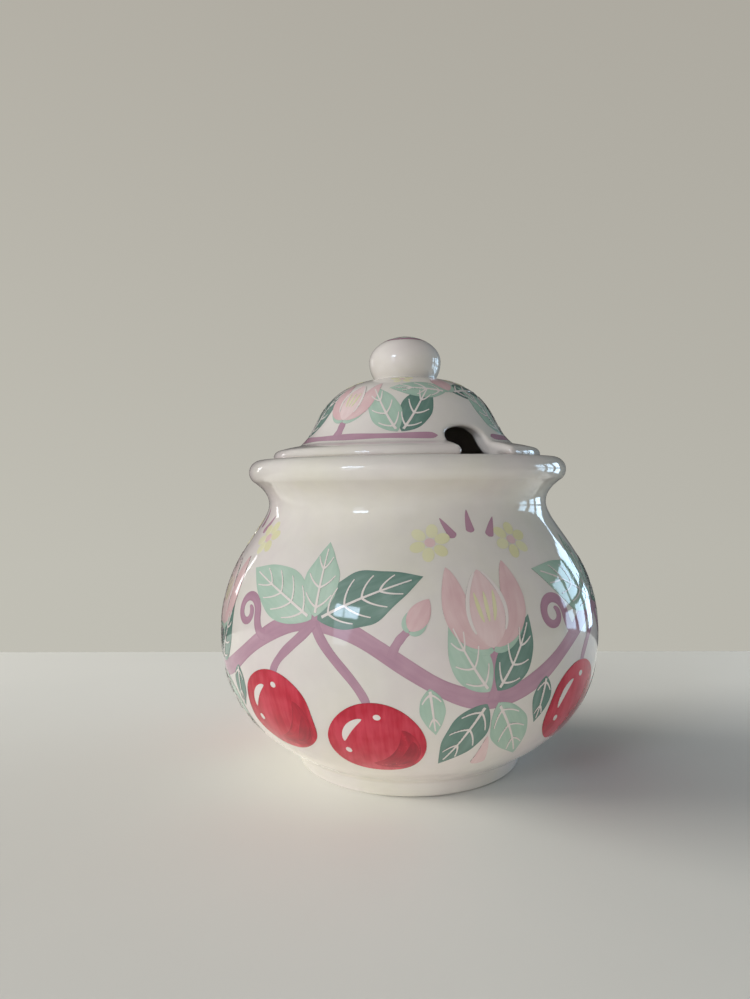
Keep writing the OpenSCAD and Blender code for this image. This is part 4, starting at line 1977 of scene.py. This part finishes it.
@dataclass(frozen=True)
class SoftBox:
    """A lamp that shines on the pot from a window or a softbox.

    Attributes:
        name: Its name.
        azimuth: Where it stands about the pot.
        elevation: How high it stands.
        distance: How far it is from the pot, in metres.
        width: Its width, in metres.
        height: Its height, in metres.
        watts: Its power.
        colour: Its colour.
        mirrored: Whether the glaze mirrors it. Light through a net curtain leaves no bright shape.
        shaded: Whether screens keep it off all but the table.
    """

    name: str
    azimuth: float
    elevation: float
    distance: float
    width: float
    height: float
    watts: float
    colour: str
    mirrored: bool = True
    shaded: bool = False

    # Height of the place that every lamp faces
    AIM: ClassVar[float] = 50.0

    def build(self, table: Collection) -> None:
        """Adds the lamp.

        Args:
            table: Holds what a shaded lamp shines on.
        """
        lamp = bpy.data.lights.new(self.name, "AREA")
        lamp.shape = "RECTANGLE"
        lamp.size = self.width
        lamp.size_y = self.height
        lamp.energy = self.watts
        lamp.color = linear(self.colour)[:3]
        obj = bpy.data.objects.new(self.name, lamp)
        target = Vector((0, 0, self.AIM * MM))
        obj.location = target + self.distance * towards(self.azimuth, self.elevation)
        obj.rotation_euler = (target - obj.location).to_track_quat("-Z", "Y").to_euler()
        obj.visible_glossy = self.mirrored
        if self.shaded:
            obj.light_linking.receiver_collection = table
        bpy.context.scene.collection.objects.link(obj)


@dataclass
class Studio:
    """The camera at the photograph's angle, a pale table, a plain wall and soft light.

    Attributes:
        focal_px: The camera's focal length in pixels, as fitted.
        frame_px: The frame's height in pixels.
        distance: How far the camera is from the pot's axis.
        eye: How high the camera is.
        pitch: How far the camera looks up.
        roll: How far the camera leans.
        yaw: How far the camera looks to the right.
        table_back: Where the table's far edge is behind the axis.
        table_front: Where its near edge is.
        table_side: How far it reaches to either side.
        table_edge: Rounding of its far edge.
        table_t: Its thickness.
        wall_low: The wall's colour near the table, lighter there as painted light.
        wall_high: The wall's colour higher up, darker there as painted shade.
        table: The table's colour.
        room: Colour of the light off walls and ceiling.
        front_glow: Strength of the glow in front.
        ceiling_glow: Strength of the glow off the ceiling.
        base_glow: Strength of the light from all round.
        table_seen: The table's level to the camera, as a share of what lights the pot.
    """

    SENSOR: ClassVar[float] = 36.0

    focal_px: float = 713.9
    frame_px: float = 999.0
    distance: float = 214.9
    eye: float = 82.0
    pitch: float = -1.53
    roll: float = -0.69
    yaw: float = -2.51
    table_back: float = 130.0
    table_front: float = -900.0
    table_side: float = 900.0
    table_edge: float = 6.0
    table_t: float = 30.0
    wall_low: str = "#BEBCB2"
    wall_high: str = "#B0ACA2"
    table: str = "#F0EEE7"
    room: str = "#FAF7F2"
    front_glow: float = 1.2
    ceiling_glow: float = 0.48
    base_glow: float = 0.08
    table_seen: float = 0.75

    def build(self) -> None:
        """Makes the whole room."""
        self.camera()
        table = bpy.data.collections.new("table_light")
        table.objects.link(self.table_top())
        self.room_light()
        for lamp in self.lamps():
            lamp.build(table)

    def lamps(self) -> list[SoftBox]:
        """Lists the lamps.

        Returns:
            The lamps.
        """
        lamps = [
            SoftBox("window_left", -106, 23, 2.5, 1.5, 1.3, 8.5, "#FFFFFF", mirrored=False),
            SoftBox("window_low", -96, 6, 2.5, 1.4, 0.25, 165.0, "#FFFEF8", mirrored=False, shaded=True),
            SoftBox("pane_left", -128, 10, 1.2, 0.07, 0.3, 0.25, "#FFFFFF"),
            SoftBox("pane_front_low", -37, 7, 1.2, 0.2, 0.34, 0.5, "#DCEBFF"),
        ]
        for column in (0, 1, 2):
            for row in (0, 1):
                lamps.append(SoftBox(f"pane_right_{column}_{row}", 104 + 13 * column, -3 + 15 * row, 0.8,
                                     0.13, 0.17, 0.42, "#C6E6FF"))
        for column in (0, 1):
            lamps.append(SoftBox(f"pane_front_{column}", -40 + 7 * column, 22, 1.2,
                                 0.125, 0.17, 1.0, "#D3E7FF"))
        return lamps

    def camera(self) -> None:
        """The camera, as fitted to the photograph's outlines."""
        data = bpy.data.cameras.new("camera")
        data.sensor_width = self.SENSOR
        data.lens = self.SENSOR * self.focal_px / self.frame_px
        data.clip_start = 0.005
        obj = bpy.data.objects.new("camera", data)
        yaw, pitch, roll = (math.radians(v) for v in (self.yaw, self.pitch, self.roll))
        ahead = Vector((math.sin(yaw) * math.cos(pitch), math.cos(yaw) * math.cos(pitch), math.sin(pitch)))
        right = Vector((math.cos(yaw), -math.sin(yaw), 0))
        up = right.cross(ahead)
        x_axis = math.cos(roll) * right + math.sin(roll) * up
        y_axis = -math.sin(roll) * right + math.cos(roll) * up
        place = Matrix((x_axis, y_axis, -ahead)).transposed().to_4x4()
        place.translation = Vector((0, -self.distance * MM, self.eye * MM))
        obj.matrix_world = place
        bpy.context.scene.collection.objects.link(obj)
        bpy.context.scene.camera = obj

    def table_top(self) -> Object:
        """Makes a plain pale table with a rounded far edge.

        Returns:
            The table.
        """
        edge = arc([self.table_back - self.table_edge, -self.table_edge], self.table_edge, 90, 0, 10)
        side = joined([[self.table_front, 0]], edge,
                      [[self.table_back, -self.table_t], [self.table_front, -self.table_t]])
        count = len(side)
        points = [[x, y, z] for x in (-self.table_side, self.table_side) for y, z in side]
        faces = [[i, (i + 1) % count, (i + 1) % count + count, i + count] for i in range(count)]
        faces += [list(range(count))[::-1], list(range(count, 2 * count))]
        obj = mesh_object("table", np.array(points) * MM, faces=faces)
        material = new_material("matt_painted_board")
        tree = material.node_tree
        place = add_node(tree, "ShaderNodeTexCoord")
        haze = add_node(tree, "ShaderNodeTexNoise", None, {
            "Vector": place.outputs["Object"], "Scale": 9.0, "Detail": 3.0,
        })
        shade = add_node(tree, "ShaderNodeMapRange", None, {
            "Value": haze.outputs["Fac"], "From Min": 0.3, "From Max": 0.7, "To Min": 0.97, "To Max": 1.0,
        })
        # Daylight is stronger at the far side of the table
        split = add_node(tree, "ShaderNodeSeparateXYZ", None, {0: place.outputs["Object"]})
        far = add_node(tree, "ShaderNodeMapRange", {"interpolation_type": "SMOOTHSTEP"}, {
            "Value": split.outputs["Y"], "From Min": -0.1, "From Max": 0.13, "To Min": 0.98, "To Max": 1.2,
        })
        # The camera sees the table at another level than the one that lights the pot
        path = add_node(tree, "ShaderNodeLightPath")
        seen = add_node(tree, "ShaderNodeMath", {"operation": "MULTIPLY_ADD"}, {
            0: path.outputs["Is Camera Ray"], 1: self.table_seen - 1, 2: 1.0,
        })
        seen = add_node(tree, "ShaderNodeMath", {"operation": "MULTIPLY"}, {
            0: seen.outputs[0], 1: far.outputs["Result"],
        })
        level = add_node(tree, "ShaderNodeMath", {"operation": "MULTIPLY"}, {
            0: seen.outputs[0], 1: shade.outputs["Result"],
        })
        base = add_node(tree, "ShaderNodeVectorMath", {"operation": "SCALE"}, {
            0: linear(self.table)[:3], "Scale": level.outputs[0],
        })
        shader = add_node(tree, "ShaderNodeBsdfPrincipled", None, {
            "Base Color": base.outputs["Vector"], "Roughness": 0.6, "Specular IOR Level": 0.3,
        })
        add_node(tree, "ShaderNodeOutputMaterial", None, {"Surface": shader.outputs["BSDF"]})
        obj.data.materials.append(material)
        return obj

    def glow(self, tree: NodeTree, direction_seen: NodeSocket, azimuth: float,
             elevation: float, reach: float, strength: float) -> NodeSocket:
        """A broad glow with no edge, such as daylight gives a pale wall or ceiling.

        Args:
            tree: The world's node tree.
            direction_seen: The direction that the world is seen in.
            azimuth: Where the glow's middle is about the pot.
            elevation: How high its middle is.
            reach: How far it reaches from its middle.
            strength: Its strength in the middle.

        Returns:
            The glow's strength in the direction seen.
        """
        near = add_node(tree, "ShaderNodeVectorMath", {"operation": "DOT_PRODUCT"}, {
            0: direction_seen, 1: towards(azimuth, elevation),
        })
        soft = add_node(tree, "ShaderNodeMapRange", {"interpolation_type": "SMOOTHSTEP"}, {
            "Value": near.outputs["Value"], "From Min": math.cos(math.radians(reach)), "From Max": 1.0,
            "To Min": 0.0, "To Max": strength,
        })
        return soft.outputs["Result"]

    def room_light(self) -> None:
        """Soft light off walls and ceiling, and a plain wall behind that only the camera sees."""
        world = bpy.data.worlds.new("room")
        bpy.context.scene.world = world
        world.use_nodes = True
        tree = world.node_tree
        tree.nodes.clear()
        place = add_node(tree, "ShaderNodeTexCoord").outputs["Generated"]
        split = add_node(tree, "ShaderNodeSeparateXYZ", None, {0: place})
        # Painted light on the wall: its colour is lighter near the table than higher up
        height = add_node(tree, "ShaderNodeMapRange", None, {
            "Value": split.outputs["Z"], "From Min": -0.1, "From Max": 0.6,
        })
        tint = add_node(tree, "ShaderNodeMix", {"data_type": "RGBA"}, {
            "Factor": height.outputs["Result"], 6: linear(self.wall_low), 7: linear(self.wall_high),
        })
        # Painted light on the wall: it is lighter towards the left, the window's side, and darker towards
        # the right
        painted_side_light = add_node(tree, "ShaderNodeMapRange", None, {
            "Value": split.outputs["X"], "From Min": -0.5, "From Max": 0.5, "To Min": 1.03, "To Max": 0.93,
        })
        seen = add_node(tree, "ShaderNodeBackground", None, {
            "Color": tint.outputs[2], "Strength": painted_side_light.outputs["Result"],
        })
        front = self.glow(tree, place, -38, 4, 62, self.front_glow)
        above = self.glow(tree, place, -100, 50, 58, self.ceiling_glow)
        glows = add_node(tree, "ShaderNodeMath", {"operation": "ADD"}, {0: front, 1: above})
        level = add_node(tree, "ShaderNodeMath", {"operation": "ADD"}, {
            0: glows.outputs[0], 1: self.base_glow,
        })
        fill = add_node(tree, "ShaderNodeBackground", None, {
            "Color": linear(self.room), "Strength": level.outputs[0],
        })
        path = add_node(tree, "ShaderNodeLightPath")
        both = add_node(tree, "ShaderNodeMixShader", None, {
            0: path.outputs["Is Camera Ray"], 1: fill.outputs[0], 2: seen.outputs[0],
        })
        add_node(tree, "ShaderNodeOutputWorld", None, {"Surface": both.outputs[0]})


def main() -> None:
    """Builds the room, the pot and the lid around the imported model."""
    logging.basicConfig(level=logging.INFO, format="%(message)s")
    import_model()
    scene = bpy.context.scene
    scene.view_settings.view_transform = "Standard"
    Studio().build()
    pot_low, pot_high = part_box("pot_body")
    lid_low, lid_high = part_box("lid_dome")
    knob_low, knob_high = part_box("lid_knob")
    kit = Kit.build()
    pot_form = PotForm(belly_r=pot_high.x / MM, rim_z=pot_high.z / MM)
    Pot(pot_form, kit).build()
    lid_form = LidForm(seat_z=pot_high.z / MM, flange_r=lid_high.x / MM,
                       collar_bottom=lid_low.z / MM, mouth_r=pot_form.mouth_r)
    knob_form = KnobForm(base_z=knob_low.z / MM, top_z=knob_high.z / MM, wide_r=knob_high.x / MM)
    Lid(lid_form, knob_form, kit).build()


if __name__ == "__main__":
    main()
